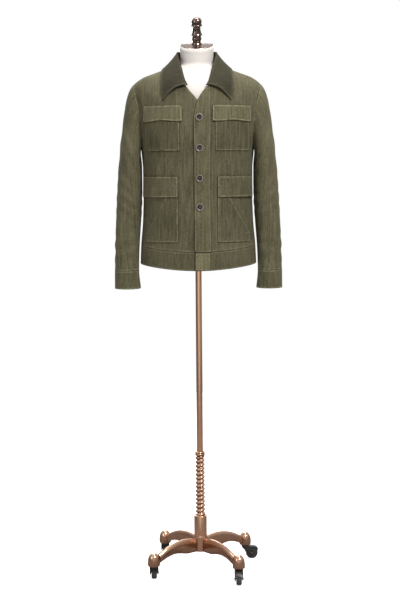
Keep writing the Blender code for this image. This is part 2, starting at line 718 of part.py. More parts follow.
def make_sleeves():
    """Set-in sleeves that hang empty, and their straight cuffs."""
    angles = -np.arange(SLEEVE_AROUND) * 2 * math.pi / SLEEVE_AROUND
    angles = (angles + math.pi) % (2 * math.pi) - math.pi
    share = np.concatenate([SLEEVE_HEAD, np.linspace(0.28, 1, SLEEVE_ROWS - len(SLEEVE_HEAD))])
    rings = sleeve_ellipse(share, angles)
    seam, off = armhole_loop(angles)
    stand_off = np.where(np.sin(angles) > 0.05, BACK_STANDOFF, ARMHOLE_STANDOFF)
    stand_off = np.where(np.cos(angles) < -0.99, ARMPIT_STANDOFF, stand_off)
    start = seam + off * stand_off[:, None]
    fade = 1 - ease(0, 0.2, share)
    rings += (start - rings[0])[None] * fade[:, None, None]
    outward = grid_normals(rings, True)
    middle_line = rings.mean(axis=1, keepdims=True)
    if np.sum((rings - middle_line) * outward) < 0:
        outward = -outward
    rings += outward * sleeve_wrinkles(share, angles)[..., None]
    cuff_gap = SEAM / 2
    rings[-1, :, 2] += cuff_gap
    cuff_rings = sleeve_ellipse(np.array([1.0, 1.125, 1.25]), angles)
    cuff_top = SLEEVE[-2][2] * MM
    cuff_rings[:, :, 2] = np.array([cuff_top - cuff_gap, cuff_top - CUFF / 2, cuff_top - CUFF])[:, None]
    cuff_out = grid_normals(cuff_rings, True)
    cuff_middle = cuff_rings.mean(axis=1, keepdims=True)
    if np.sum((cuff_rings - cuff_middle) * cuff_out) < 0:
        cuff_out = -cuff_out
    cuff_out[..., 2] = 0
    for word, sign in (("right", -1), ("left", 1)):
        mirror = np.array([sign, 1, 1])
        half = outward * CLOTH / 2
        wall(f"sleeve_{word}", (rings - half) * mirror, (rings + half) * mirror, True)
        half = cuff_out * CLOTH / 2
        wall(f"cuff_{word}", (cuff_rings - half) * mirror, (cuff_rings + half) * mirror, True)


# ---------------------------------------------------------------- collar
COLLAR_HALF = 13
STAND_SEAM = 3.5 * MM  # from the neckline's middle surface up to the stand's lower edge
STAND_INSET = 2.6 * MM  # from the fall's middle surface in to the stand's upper edge
STAND_DROP = 1.2 * MM


def neck_seam(along):
    """The neckline on the bare cloth for shares 0 (middle back) to 1 (front end), wearer's left."""
    points = np.empty((len(along), 3))
    turn = 0.5
    neck = front_neckline(9)
    for number, share in enumerate(along):
        if share <= turn:
            part = share / turn
            z = BACK_NECK_Z + (NECK_POINT_Z - BACK_NECK_Z) * part**2
            points[number] = cloth_point(part * RIDGE, z, 1)
        else:
            part = (share - turn) / (1 - turn)
            row = (1 - part) * (len(neck) - 1)
            side = np.interp(row, range(len(neck)), neck[:, 0])
            z = np.interp(row, range(len(neck)), neck[:, 1])
            points[number] = cloth_point(side, z, -1)
    return points


def make_collar():
    """A one-piece stand that rises from the neckline, and the fall that folds over it onto the shoulders."""
    half = np.linspace(0, 1, COLLAR_HALF)
    fold = np.stack([smooth_table(COLLAR, column, half) * MM for column in (1, 2, 3)], axis=-1)
    edge_x = smooth_table(COLLAR, 4, half) * MM
    edge_z = smooth_table(COLLAR, 5, half) * MM
    edge = np.empty_like(fold)
    for number, share in enumerate(half):
        face = 1 if share < 0.5 else -1
        side = float(side_of(edge_x[number], edge_z[number], face))
        clear = np.interp(share, [0, 0.35, 0.42, 0.55, 0.65, 1], [3.2, 3.6, 5, 5, 3.4, 3.2]) * MM
        edge[number] = cloth_point(min(side, RIDGE), edge_z[number], face, clear)
    rows = 6
    down = np.linspace(0, 1, rows)
    lift = np.interp(half, [0, 0.3, 0.45, 0.6, 0.8, 1], [5, 3, -3, -2, 3, 5]) * MM
    fall = fold[None] * (1 - down)[:, None, None] + edge[None] * down[:, None, None]
    bow = np.sin(down * math.pi) ** 0.8
    outward = fall[rows // 2] * np.array([1, 1, 0])
    outward /= np.linalg.norm(outward, axis=-1, keepdims=True)
    outward[:, 2] = 0.75
    outward /= np.linalg.norm(outward, axis=-1, keepdims=True)
    fall += bow[:, None, None] * lift[None, :, None] * outward[None]
    # The front end curves up between the neck and the collar's point.
    end = ease(0.72, 1, half)
    fall[..., 2] += (10 * MM * np.sin(down * math.pi))[:, None] * end[None, :]
    rest_on_body(fall, 3.0 * MM)
    stand_low = neck_seam(half)
    stand_top = fold - outward * np.array([STAND_INSET, STAND_INSET, 0])
    stand_top[:, 2] -= STAND_DROP
    rise = stand_top - stand_low
    stand_low += rise / np.linalg.norm(rise, axis=-1, keepdims=True) * STAND_SEAM
    up = np.linspace(0, 1, 3)
    stand = stand_low[None] * (1 - up)[:, None, None] + stand_top[None] * up[:, None, None]
    for name, sheet in (("collar_fall", fall), ("collar_stand", stand)):
        mirrored = sheet[:, :0:-1] * np.array([-1, 1, 1])
        whole = np.concatenate([mirrored, sheet], axis=1)
        normal = grid_normals(whole, False)
        outwards = whole * np.array([1, 1, 0.0]) + np.array([0, 0, 0.05])
        if np.sum(normal * outwards) < 0:
            normal = -normal
        wall(name, whole - normal * CLOTH / 2, whole + normal * CLOTH / 2, finish="collar_cord")


def rest_on_body(sheet, gap):
    """Moves points of the collar out to the body's surface plus a gap where they would lie deeper."""
    for place in np.ndindex(sheet.shape[:-1]):
        x, y, z = sheet[place]
        if z > NECK_POINT_Z:
            continue
        face = -1 if y < 0 else 1
        half_width, depth, square = ring_sizes(np.array(z), face)
        share = abs(x) / float(half_width)
        if share >= 0.97:
            continue
        surface = float(depth) * (1 - share ** float(square)) ** (1 / float(square))
        if abs(y) < surface + gap:
            sheet[place][1] = face * (surface + gap)


# ---------------------------------------------------------------- buttons
def turned(name, profile, steps, finish, frame=None, smooth_angle=40):
    """A solid of revolution about +Z from (radius, height) points, from one end of the axis to the other."""
    points = []
    rings = []
    for radius, height in profile:
        if radius < 1e-9:
            rings.append([len(points)])
            points.append((0.0, 0.0, height))
            continue
        rings.append(list(range(len(points), len(points) + steps)))
        for step in range(steps):
            angle = 2 * math.pi * step / steps
            points.append((radius * math.cos(angle), radius * math.sin(angle), height))
    faces = []
    closed_profile = len(rings[0]) > 1
    pairs = list(zip(rings, rings[1:]))
    if closed_profile:
        pairs.append((rings[-1], rings[0]))
    for low, high in pairs:
        for step in range(steps):
            after = (step + 1) % steps
            if len(low) == 1:
                faces.append([low[0], high[after], high[step]])
            elif len(high) == 1:
                faces.append([low[step], low[after], high[0]])
            else:
                faces.append([low[step], low[after], high[after], high[step]])
    placed = np.array(points)
    if frame is not None:
        axes, origin = frame
        placed = placed @ np.array(axes) + np.array(origin)
    return add_object(name, placed, faces, finish, smooth_angle)


def frame_along(normal, origin):
    """Axes whose third runs along normal."""
    third = np.array(normal, float) / np.linalg.norm(normal)
    first = np.cross([0, 0, 1.0], third)
    first = first / np.linalg.norm(first) if np.linalg.norm(first) > 1e-6 else np.array([1.0, 0, 0])
    return (first, np.cross(third, first), third), origin


def make_buttons():
    """Four dished buttons with a raised rim, sewn through the front strip."""
    radius = BUTTON_RADIUS
    profile = (
        (0, 0),
        (radius * 0.72, 0),
        (radius * 0.96, 1.1 * MM),
        (radius, 2.1 * MM),
        (radius * 0.93, 3.1 * MM),
        (radius * 0.78, 3.3 * MM),
        (radius * 0.64, 2.3 * MM),
        (0, 2.1 * MM),
    )
    for number, z in enumerate(BUTTON_HEIGHTS, 1):
        side = float(side_of(BUTTON_X, z))
        top_layer = 2 * LAYER + CLOTH / 2
        seat = cloth_point(side, z, -1, top_layer + 0.5 * MM)
        normal = cloth_point(side, z, -1, top_layer + 10 * MM) - seat
        button = turned(f"button_{number}", profile, 12, "horn", frame_along(normal, seat))
        put_origin(button, seat)


# ---------------------------------------------------------------- dress form
def make_form():
    """The covered torso block: it carries the shoulders, is easy below them, and rises into a round neck."""
    around = 24
    angles = [2 * math.pi * step / around for step in range(around)]
    rings = []
    for level, front_inset, back_inset, limit in FORM_LEVELS:
        z = level * MM
        ring = []
        for angle in angles:
            face = -1 if math.sin(angle) < 0 else 1
            share = abs(math.asin(math.cos(angle)) / (math.pi / 2))
            side = math.copysign(min(share, RIDGE), math.cos(angle))
            inset = (front_inset if face < 0 else back_inset) * MM
            point = cloth_normal_inset(side, z, face, inset)
            point[0] = math.copysign(min(abs(point[0]), limit * MM), point[0])
            ring.append(point)
        rings.append(ring)
    for level, radius, tilt in FORM_NECK:
        ring = []
        for angle in angles:
            x = radius * MM * math.cos(angle)
            y = radius * MM * math.sin(angle)
            ring.append((x, y, level * MM + y * math.tan(CAP_TILT) * tilt))
        rings.append(ring)
    rings = np.array(rings)
    rings[0] = rings[1]
    rings[0, :, 2] = FORM_BOTTOM
    rings[0, :, :2] *= 0.985
    rows = len(rings)
    points = rings.reshape(-1, 3).tolist()
    faces = []
    for row in range(rows - 1):
        for column in range(around):
            after = (column + 1) % around
            here = row * around
            above = here + around
            faces.append([here + column, here + after, above + after, above + column])
    faces.append(list(range(around))[::-1])
    faces.append([(rows - 1) * around + column for column in range(around)])
    add_object("form_torso", points, faces, "cream_cover", 60)


def cloth_normal_inset(side, z, face, inset):
    """A point of the bare torso moved in square to its surface."""
    step_side = 0.01
    step_z = 1 * MM
    across = bare_point(min(side + step_side, 1), z, face) - bare_point(max(side - step_side, -1), z, face)
    upward = bare_point(side, z + step_z, face) - bare_point(side, z - step_z, face)
    normal = np.cross(across, upward)
    if abs(side) > 0.99:
        normal[1] = 0
    normal /= np.linalg.norm(normal) + 1e-12
    point = bare_point(side, z, face)
    if np.dot(normal, point * [1, 1, 0]) < 0:
        normal = -normal
    return point - normal * inset


def make_neck_cap():
    """A thin dished metal cap on the sloping neck, with the turned finial screwed into its middle."""
    normal = np.array([0, -math.sin(CAP_TILT), math.cos(CAP_TILT)])
    origin = np.array([0, 0, NECK_TOP]) + normal * 0.4 * MM
    radius = NECK_RADIUS + 2 * MM
    profile = (
        (0, 0),
        (radius - 1.5 * MM, 0),
        (radius, 1.5 * MM),
        (radius, CAP_THICKNESS - 2 * MM),
        (radius - 2.5 * MM, CAP_THICKNESS),
        (0, CAP_THICKNESS),
    )
    turned("neck_cap", profile, 28, "copper", frame_along(normal, origin))
    upright = [(0, 0)] + [(radius * MM, height * MM) for height, radius in FINIAL]
    seat = origin + normal * (CAP_THICKNESS + 0.3 * MM)
    turned("finial", upright, 16, "copper", frame_along(normal, seat), 50)


# ---------------------------------------------------------------- stand
def make_pole():
    """Pole, threaded length, and the double stop ring between them."""
    ring_top = THREAD_TOP + 12 * MM
    socket_foot = FORM_BOTTOM - 12.3 * MM
    turned(
        "pole",
        (
            (0, ring_top + SEAM),
            (POLE_RADIUS, ring_top + SEAM),
            (POLE_RADIUS, socket_foot - SEAM),
            (0, socket_foot - SEAM),
        ),
        16,
        "copper",
    )
    turned(
        "form_socket",
        (
            (0, socket_foot),
            (19 * MM, socket_foot),
            (20 * MM, FORM_BOTTOM - 8 * MM),
            (34 * MM, FORM_BOTTOM - 5 * MM),
            (35 * MM, FORM_BOTTOM - SEAM),
            (0, FORM_BOTTOM - SEAM),
        ),
        20,
        "copper",
    )
    turned(
        "stop_ring",
        (
            (0, THREAD_TOP + SEAM),
            (15 * MM, THREAD_TOP + SEAM),
            (16 * MM, THREAD_TOP + 1.5 * MM),
            (16 * MM, THREAD_TOP + 4 * MM),
            (13 * MM, THREAD_TOP + 5.5 * MM),
            (15.5 * MM, THREAD_TOP + 7 * MM),
            (15.5 * MM, THREAD_TOP + 10 * MM),
            (13 * MM, ring_top),
            (0, ring_top),
        ),
        16,
        "copper",
    )


def make_thread():
    """A coarse right-hand thread, closed at both ends by turns squeezed nearly flat."""
    steps = 12
    rows = 3
    radii = (THREAD_ROOT, THREAD_CREST, THREAD_CREST)
    shares = (0.0, 0.40, 0.62)
    squeeze = 0.04
    length = THREAD_TOP - THREAD_BOTTOM
    end_turn = squeeze * THREAD_PITCH
    count = int((length - 2 * end_turn) / THREAD_PITCH * steps) + 2 * steps
    lowest = -THREAD_PITCH
    top = (count / steps - 2) * THREAD_PITCH

    def place(step, row):
        height = lowest + (step / steps + shares[row]) * THREAD_PITCH
        if height < 0:
            height *= squeeze
        if height > top:
            height = top + (height - top) * squeeze
        angle = 2 * math.pi * step / steps
        return (radii[row] * math.cos(angle), radii[row] * math.sin(angle), THREAD_BOTTOM + end_turn + height)

    points = [place(step, row) for step in range(count + 1) for row in range(rows)]

    def index(step, row):
        if row < rows:
            return step * rows + row
        return (step + steps) * rows

    last = count - steps
    faces = []
    for step in range(last):
        for row in range(rows):
            after = step + 1
            faces.append([index(step, row), index(after, row), index(after, row + 1), index(step, row + 1)])
    used_bottom = [index(step, 0) for step in range(steps)] + [index(0, row) for row in range(rows, 0, -1)]
    used_top = [index(step, 0) for step in range(last + steps, last, -1)]
    used_top += [index(last, row) for row in range(rows)]
    low_centre = len(points)
    points.append((0, 0, THREAD_BOTTOM))
    high_centre = len(points)
    high_z = max(points[corner][2] for corner in used_top)
    points.append((0, 0, high_z))
    for loop, centre in ((used_bottom, low_centre), (used_top, high_centre)):
        for here, after in zip(loop, loop[1:] + loop[:1]):
            faces.append([centre, after, here])
    kept = sorted({corner for face in faces for corner in face})
    number = {corner: place_of for place_of, corner in enumerate(kept)}
    faces = [[number[corner] for corner in face] for face in faces]
    add_object("screw", [points[corner] for corner in kept], faces, "copper", 50)


def make_hub():
    """A tall nut with a plain bore that the thread passes through."""
    bore = THREAD_CREST + 0.6 * MM
    turned(
        "hub",
        (
            (bore, LEG_FOOT),
            (HUB_FOOT_RADIUS, LEG_FOOT),
            (HUB_FOOT_RADIUS, 108 * MM),
            (HUB_RADIUS, 114 * MM),
            (HUB_RADIUS, HUB_TOP - 4 * MM),
            (HUB_RADIUS - 3 * MM, HUB_TOP),
            (bore, HUB_TOP),
        ),
        20,
        "copper",
        smooth_angle=30,
    )


def make_leg(name, direction):
    """A ridged, arched leg from the hub to the bell at its end."""
    along = np.array([math.cos(direction), math.sin(direction), 0])
    across = np.array([-math.sin(direction), math.cos(direction), 0])
    points = []
    for r, bottom, top, width in LEG:
        height = top - bottom
        section = (
            (-0.42 * width, 0),
            (0.42 * width, 0),
            (0.5 * width, 0.6 * height),
            (0.22 * width, height),
            (-0.22 * width, height),
            (-0.5 * width, 0.6 * height),
        )
        for offset, up in section:
            points.append(along * r * MM + across * offset * MM + np.array([0, 0, (bottom + up) * MM]))
    sides = 6
    faces = [list(range(sides)), [(len(LEG) - 1) * sides + corner for corner in range(sides)][::-1]]
    for row in range(len(LEG) - 1):
        for corner in range(sides):
            after = (corner + 1) % sides
            next_row = (row + 1) * sides
            faces.append([row * sides + after, row * sides + corner, next_row + corner, next_row + after])
    add_object(name, points, faces, "copper", 35)


def prism(name, outline, low, high, frame, finish):
    """An outline of (a, b) points extruded along the frame's third axis from low to high."""
    axes, origin = frame
    points = [(a, b, low) for a, b in outline] + [(a, b, high) for a, b in outline]
    placed = np.array(points) @ np.array(axes) + np.array(origin)
    count = len(outline)
    faces = [list(range(count))[::-1], list(range(count, 2 * count))]
    for here in range(count):
        after = (here + 1) % count
        faces.append([here, after, count + after, count + here])
    return add_object(name, placed, faces, finish)


def merge(base, others):
    """Fuses the others into base with Booleans and removes them."""
    for other in others:
        modifier = base.modifiers.new("join", "BOOLEAN")
        modifier.operation = "UNION"
        modifier.object = other
    bpy.context.view_layer.update()
    graph = bpy.context.evaluated_depsgraph_get()
    mesh = bpy.data.meshes.new_from_object(base.evaluated_get(graph))
    base.modifiers.clear()
    base.data = mesh
    for other in others:
        bpy.data.objects.remove(other, do_unlink=True)


def make_caster(word, centre, trail):
    """A black caster: a round seat under the bell, a fork leaning back, the axle and one wheel."""
    back = np.array([math.cos(trail), math.sin(trail), 0])
    across = np.array([-math.sin(trail), math.cos(trail), 0])
    up = np.array([0, 0, 1.0])
    seat_top = BELL_BOTTOM - SEAM
    turned(
        f"caster_fork_{word}",
        ((0, seat_top - 5 * MM), (13 * MM, seat_top - 5 * MM), (13.5 * MM, seat_top), (0, seat_top)),
        12,
        "black_nylon",
        ((back, across, up), (centre[0], centre[1], 0)),
    )
    fork = bpy.data.objects[f"caster_fork_{word}"]
    cheek = (
        (-11 * MM, seat_top - 1 * MM),
        (-11 * MM, seat_top - 7 * MM),
        (WHEEL_TRAIL - 7 * MM, WHEEL_RADIUS - 6 * MM),
        (WHEEL_TRAIL + 3 * MM, WHEEL_RADIUS - 7 * MM),
        (WHEEL_TRAIL + 7.5 * MM, WHEEL_RADIUS),
        (WHEEL_TRAIL + 6 * MM, WHEEL_RADIUS + 8 * MM),
        (11 * MM, seat_top - 1 * MM),
    )
    bridge = (
        (-11.5 * MM, seat_top - 1.2 * MM),
        (-11.5 * MM, seat_top - 4 * MM),
        (11.5 * MM, seat_top - 4 * MM),
        (11.5 * MM, seat_top - 1.2 * MM),
    )
    side_frame = ((back, up, -across), (centre[0], centre[1], 0))
    half = FORK_WIDTH / 2
    added = [
        prism("cheek_a", cheek, half - FORK_WALL, half, side_frame, "black_nylon"),
        prism("cheek_b", cheek, -half, FORK_WALL - half, side_frame, "black_nylon"),
        prism("bridge", bridge, -half + 1 * MM, half - 1 * MM, side_frame, "black_nylon"),
    ]
    axle_centre = (centre[0] + back[0] * WHEEL_TRAIL, centre[1] + back[1] * WHEEL_TRAIL, WHEEL_RADIUS)
    axle_frame = ((back, up, -across), axle_centre)
    end = half - 1 * MM
    axle = ((0, -end), (AXLE_RADIUS, -end), (AXLE_RADIUS, end), (0, end))
    added.append(turned("axle", axle, 8, "black_nylon", axle_frame))
    merge(fork, added)
    put_origin(fork, (centre[0], centre[1], seat_top))
    bore = AXLE_RADIUS + 0.5 * MM
    wide = WHEEL_WIDTH / 2
    wheel = turned(
        f"caster_wheel_{word}",
        (
            (bore, -wide),
            (WHEEL_RADIUS * 0.72, -wide),
            (WHEEL_RADIUS * 0.93, -wide * 0.86),
            (WHEEL_RADIUS, -wide * 0.45),
            (WHEEL_RADIUS, wide * 0.45),
            (WHEEL_RADIUS * 0.93, wide * 0.86),
            (WHEEL_RADIUS * 0.72, wide),
            (bore, wide),
        ),
        20,
        "black_nylon",
        axle_frame,
    )
    put_origin(wheel, axle_centre)


def make_base():
    """Hub, four legs and bells, and the casters as the photograph shows them turned."""
    make_hub()
    # Each corner: name, quarter turns from the front right leg, and the way its wheel trails, in degrees.
    corners = (("front_right", 0, -90), ("back_right", 1, 0), ("back_left", 2, 90), ("front_left", 3, 90))
    for word, quarters, trail in corners:
        direction = LEG_TURN + quarters * math.pi / 2
        make_leg(f"leg_{word}", direction)
        centre = (LEG_REACH * math.cos(direction), LEG_REACH * math.sin(direction), 0)
        radius = BELL_RADIUS
        turned(
            f"bell_{word}",
            (
                (0, BELL_BOTTOM),
                (radius * 0.94, BELL_BOTTOM),
                (radius, BELL_BOTTOM + 3 * MM),
                (radius, BELL_BOTTOM + 17 * MM),
                (radius * 0.92, BELL_BOTTOM + 26 * MM),
                (radius * 0.70, BELL_BOTTOM + 35 * MM),
                (radius * 0.36, BELL_TOP - 1 * MM),
                (0, BELL_TOP),
            ),
            16,
            "copper",
            ((np.array([1.0, 0, 0]), np.array([0, 1.0, 0]), np.array([0, 0, 1.0])), centre),
        )
        make_caster(word, centre, math.radians(trail))


def group_pieces():
    """Parents every piece to an empty: the base stands still, and the jacket and form turn on the screw."""
    base = bpy.data.objects.new("base_group", None)
    upper = bpy.data.objects.new("turning_group", None)
    pieces = list(bpy.context.collection.objects)
    for empty in (base, upper):
        bpy.context.collection.objects.link(empty)
    upper.parent = base
    for piece in pieces:
        fixed = piece.name.startswith(("hub", "leg_", "bell_", "caster_"))
        piece.parent = base if fixed else upper


make_body()
make_waistband()
make_front_strip()
make_pockets()
make_sleeves()
make_collar()
make_buttons()
make_form()
make_neck_cap()
make_pole()
make_thread()
make_base()
group_pieces()
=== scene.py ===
import math

import bmesh
import bpy
import numpy as np
from mathutils import Matrix, Vector


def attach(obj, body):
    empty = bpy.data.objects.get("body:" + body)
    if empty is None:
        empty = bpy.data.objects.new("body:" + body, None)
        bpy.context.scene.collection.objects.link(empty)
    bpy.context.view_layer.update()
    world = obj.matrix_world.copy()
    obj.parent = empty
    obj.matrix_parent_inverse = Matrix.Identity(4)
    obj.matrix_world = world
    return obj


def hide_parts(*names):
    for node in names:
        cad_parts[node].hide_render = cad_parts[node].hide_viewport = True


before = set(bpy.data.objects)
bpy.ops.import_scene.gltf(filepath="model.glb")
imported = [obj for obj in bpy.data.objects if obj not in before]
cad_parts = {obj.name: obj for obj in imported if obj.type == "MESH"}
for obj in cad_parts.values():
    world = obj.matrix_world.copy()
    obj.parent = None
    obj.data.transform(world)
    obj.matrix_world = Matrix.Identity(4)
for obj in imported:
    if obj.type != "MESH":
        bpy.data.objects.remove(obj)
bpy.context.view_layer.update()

MM = 0.001

# ---------------------------------------------------------------- studio
# A plain pale studio: a white floor that runs out of sight, soft light mostly from above and from the
# viewer's right, and a white surround whose darker bands give the polished metal its stripes.
STUDIO_WHITE = (0.93, 0.93, 0.93, 1)
FLOOR_HALF = 3.4
FLOOR_GLOW = 0.62  # for the camera alone, so that the floor's far edge does not show
FLOOR_IN_METAL = (0.20, 0.17, 0.16, 1)
# The surround from left to right, its strength, what polished surfaces see on top of that, and the heights
# between which it turns white.
BAND_LIGHT = (
    # place, light
    (0, 0.06),
    (0.12, 0.18),
    (0.30, 0.42),
    (0.44, 1),
    (0.53, 0.95),
    (0.68, 0.34),
    (0.86, 0.52),
    (1, 0.12),
)
SURROUND_LIGHT = 0.40
SURROUND_IN_METAL = 0.50
WHITE_FROM, WHITE_TO = -0.2, 0.9
# Each lamp: name, place, aimed at, width, height and power in watts.
LAMPS = (
    ("key", (1.3, -2.3, 3.5), (0, 0, 1.2), 0.9, 0.9, 116),
    ("fill", (-2.4, -2.0, 2.0), (0, 0, 1.1), 0.8, 2.0, 20),
    ("top", (0.0, 0.0, 3.5), (0, 0, 1.4), 1.6, 1.0, 60),
    ("rear", (-0.5, 3.2, 2.4), (0, 0, 1.2), 2.0, 1.8, 48),
)
CAMERA_PLACE = (0.004, -4.2, 1.292)
CAMERA_PITCH = math.radians(84.3)
CAMERA_ROLL = math.radians(-0.45)
CAMERA_LENS = 80


def add_node(tree, kind, sockets=(), **settings):
    """A new node with its settings, whose inputs are set to values or joined to other nodes' outputs."""
    node = tree.nodes.new(kind)
    for name, value in settings.items():
        setattr(node, name, value)
    for name, value in dict(sockets).items():
        if isinstance(value, bpy.types.NodeSocket):
            tree.links.new(value, node.inputs[name])
        else:
            node.inputs[name].default_value = value
    return node


def math_out(tree, operation, *values):
    """What a math node makes of values and other nodes' outputs."""
    return add_node(tree, "ShaderNodeMath", enumerate(values), operation=operation).outputs[0]


def mix_out(tree, factor, colour, other):
    """One colour blended into another by a factor, where each may be another node's output."""
    sockets = {"Factor": factor, 6: colour, 7: other}
    return add_node(tree, "ShaderNodeMix", sockets, data_type="RGBA").outputs[2]


def new_material(name, **shader_values):
    """A material with its tree and its shader, whose inputs are given with _ for a blank."""
    material = bpy.data.materials.new(name)
    material.use_nodes = True
    shader = material.node_tree.nodes["Principled BSDF"]
    for label, value in shader_values.items():
        shader.inputs[label.replace("_", " ")].default_value = value
    return material, material.node_tree, shader


def link_object(name, data):
    """A new object of the scene at the origin."""
    made = bpy.data.objects.new(name, data)
    scene.collection.objects.link(made)
    return made


def modified(mesh, kind, **settings):
    """What a modifier with these settings makes of a mesh."""
    holder = link_object("holder", mesh)
    modifier = holder.modifiers.new("modifier", kind)
    for name, value in settings.items():
        setattr(modifier, name, value)
    bpy.context.view_layer.update()
    graph = bpy.context.evaluated_depsgraph_get()
    made = bpy.data.meshes.new_from_object(holder.evaluated_get(graph))
    bpy.data.objects.remove(holder)
    return made


scene = bpy.context.scene
scene.view_settings.view_transform = "Standard"

floor_mesh = bpy.data.meshes.new("studio_floor")
corners = [(x * FLOOR_HALF, y * FLOOR_HALF, 0) for x, y in ((-1, -1), (1, -1), (1, 1), (-1, 1))]
floor_mesh.from_pydata(corners, [], [(0, 1, 2, 3)])
floor_paint, tree, paint = new_material("floor_paint", Roughness=0.9, Emission_Color=(1, 1, 1, 1))
ray = add_node(tree, "ShaderNodeLightPath").outputs
floor_glow = math_out(tree, "MULTIPLY", ray["Is Camera Ray"], FLOOR_GLOW)
floor_tone = mix_out(tree, ray["Is Glossy Ray"], STUDIO_WHITE, FLOOR_IN_METAL)
tree.links.new(floor_glow, paint.inputs["Emission Strength"])
tree.links.new(floor_tone, paint.inputs["Base Color"])
floor_mesh.materials.append(floor_paint)
link_object("studio_floor", floor_mesh)

scene.world = bpy.data.worlds.new("surround")
scene.world.use_nodes = True
tree = scene.world.node_tree
tree.nodes.clear()
seen_way = add_node(tree, "ShaderNodeTexCoord").outputs["Generated"]
way = add_node(tree, "ShaderNodeSeparateXYZ", {0: seen_way}).outputs
bands = add_node(tree, "ShaderNodeValToRGB", {"Fac": math_out(tree, "MULTIPLY_ADD", way["X"], 0.5, 0.5)})
bands.color_ramp.interpolation = "EASE"
stops = bands.color_ramp.elements
for stop, (at, light) in zip([stops[0], stops[1]], (BAND_LIGHT[0], BAND_LIGHT[-1])):
    stop.position = at
    stop.color = (light, light, light, 1)
for at, light in BAND_LIGHT[1:-1]:
    stops.new(at).color = (light, light, light, 1)
heights = {"Value": way["Z"], "From Min": WHITE_FROM, "From Max": WHITE_TO}
above = add_node(tree, "ShaderNodeMapRange", heights)
colour = mix_out(tree, above.outputs["Result"], bands.outputs["Color"], (1, 1, 1, 1))
ray = add_node(tree, "ShaderNodeLightPath").outputs
strength = math_out(tree, "MULTIPLY_ADD", ray["Is Glossy Ray"], SURROUND_IN_METAL, SURROUND_LIGHT)
glow = add_node(tree, "ShaderNodeBackground", {"Color": colour, "Strength": strength}).outputs[0]
white = add_node(tree, "ShaderNodeBackground", {"Color": (1, 1, 1, 1), "Strength": 1.0}).outputs[0]
either = add_node(tree, "ShaderNodeMixShader", {"Fac": ray["Is Camera Ray"], 1: glow, 2: white}).outputs[0]
add_node(tree, "ShaderNodeOutputWorld", {"Surface": either})

for lamp_name, stands, aims, width, height, power in LAMPS:
    lamp_data = bpy.data.lights.new(lamp_name, "AREA")
    lamp_data.shape = "RECTANGLE"
    lamp_data.size = width
    lamp_data.size_y = height
    lamp_data.energy = power
    lamp = link_object(lamp_name, lamp_data)
    lamp.location = stands
    lamp.rotation_mode = "QUATERNION"
    lamp.rotation_quaternion = (Vector(aims) - Vector(stands)).to_track_quat("-Z", "Y")

camera_data = bpy.data.cameras.new("camera")
camera_data.lens = CAMERA_LENS
scene.camera = link_object("camera", camera_data)
scene.camera.location = CAMERA_PLACE
turn = Matrix.Rotation(CAMERA_PITCH, 3, "X") @ Matrix.Rotation(CAMERA_ROLL, 3, "Z")
scene.camera.rotation_euler = turn.to_euler()

# ---------------------------------------------------------------- back
# The back is one panel of needlecord, a cotton cloth with fine cut-pile ribs. It is cut with the ribs
# upright, hangs from the form's shoulders and is sewn to the fronts, sleeves, collar and waistband.
CLOTH = 1.6 * MM
SEAM = 0.3 * MM
LAYER = CLOTH + 0.7 * MM
OVERLAP = CLOTH + 1.0 * MM
HEM_FRONT = 975 * MM
HEM_RISE = 17 * MM
WAISTBAND = 57 * MM
SHOULDER_Z = 1545 * MM
ARMPIT_Z = 1347 * MM
NECK_POINT_Z = 1610 * MM
BACK_NECK_Z = 1608 * MM
RIDGE = 0.9988
NECK_SHARE = 0.36
UNDERLAP = 34 * MM
WALE = 1.7 * MM
CORD_LIGHT = (0.128, 0.116, 0.066, 1)
CORD_DARK = (0.036, 0.032, 0.016, 1)
SHEEN_TINT = (0.62, 0.58, 0.40, 1)
RUBBED = 1.7  # how much lighter a rubbed edge is than the crest of a rib
RIB_SWAY = 1.6 * MM
RUBBED_AT = 2.8 * MM  # from the edge, where the cloth is pale
SUNK_AT = 6.8 * MM  # from the edge, where the stitches draw it in
THREAD_LIFT = 0.12 * MM

# Level cuts of the worn cloth in mm.
TORSO = (
    # z, half_width, front, back, square
    (960, 181.5, 138, 126, 2.40),
    (1000, 181, 137, 125, 2.40),
    (1030, 179.8, 136, 124, 2.40),
    (1063, 177.6, 134, 122, 2.40),
    (1094, 174.6, 132, 120, 2.40),
    (1126, 171.8, 131, 119, 2.40),
    (1157, 170.2, 130, 118, 2.40),
    (1200, 169.6, 129, 118, 2.40),
    (1251, 169.4, 130, 119, 2.40),
    (1310, 170.0, 133, 122, 2.38),
    (1350, 172, 135, 124, 2.35),
    (1395, 180, 135, 125, 2.28),
    (1443, 190, 131, 123, 2.18),
    (1488, 199, 122, 116, 2.08),
    (1522, 205, 111, 107, 2.00),
    (1545, 198.5, 101, 100, 1.94),
    (1561, 180, 92, 93, 1.90),
    (1571, 162, 85, 88, 1.87),
    (1578, 143, 79, 83, 1.85),
    (1590, 110, 69, 74, 1.82),
    (1602, 80, 57, 63, 1.80),
    (1610, 66, 51, 57, 1.80),
    (1622, 56, 46, 52, 1.85),
)

# The armhole seam from the armpit to the shoulder point, as seen from the front, in mm.
ARMHOLE = (
    # z, x
    (1347, 171.8),
    (1362, 170.6),
    (1385, 170.4),
    (1418, 171.5),
    (1464, 177.0),
    (1495, 183.0),
    (1523, 189.0),
    (1537, 194.0),
    (1545, 198.5),
)

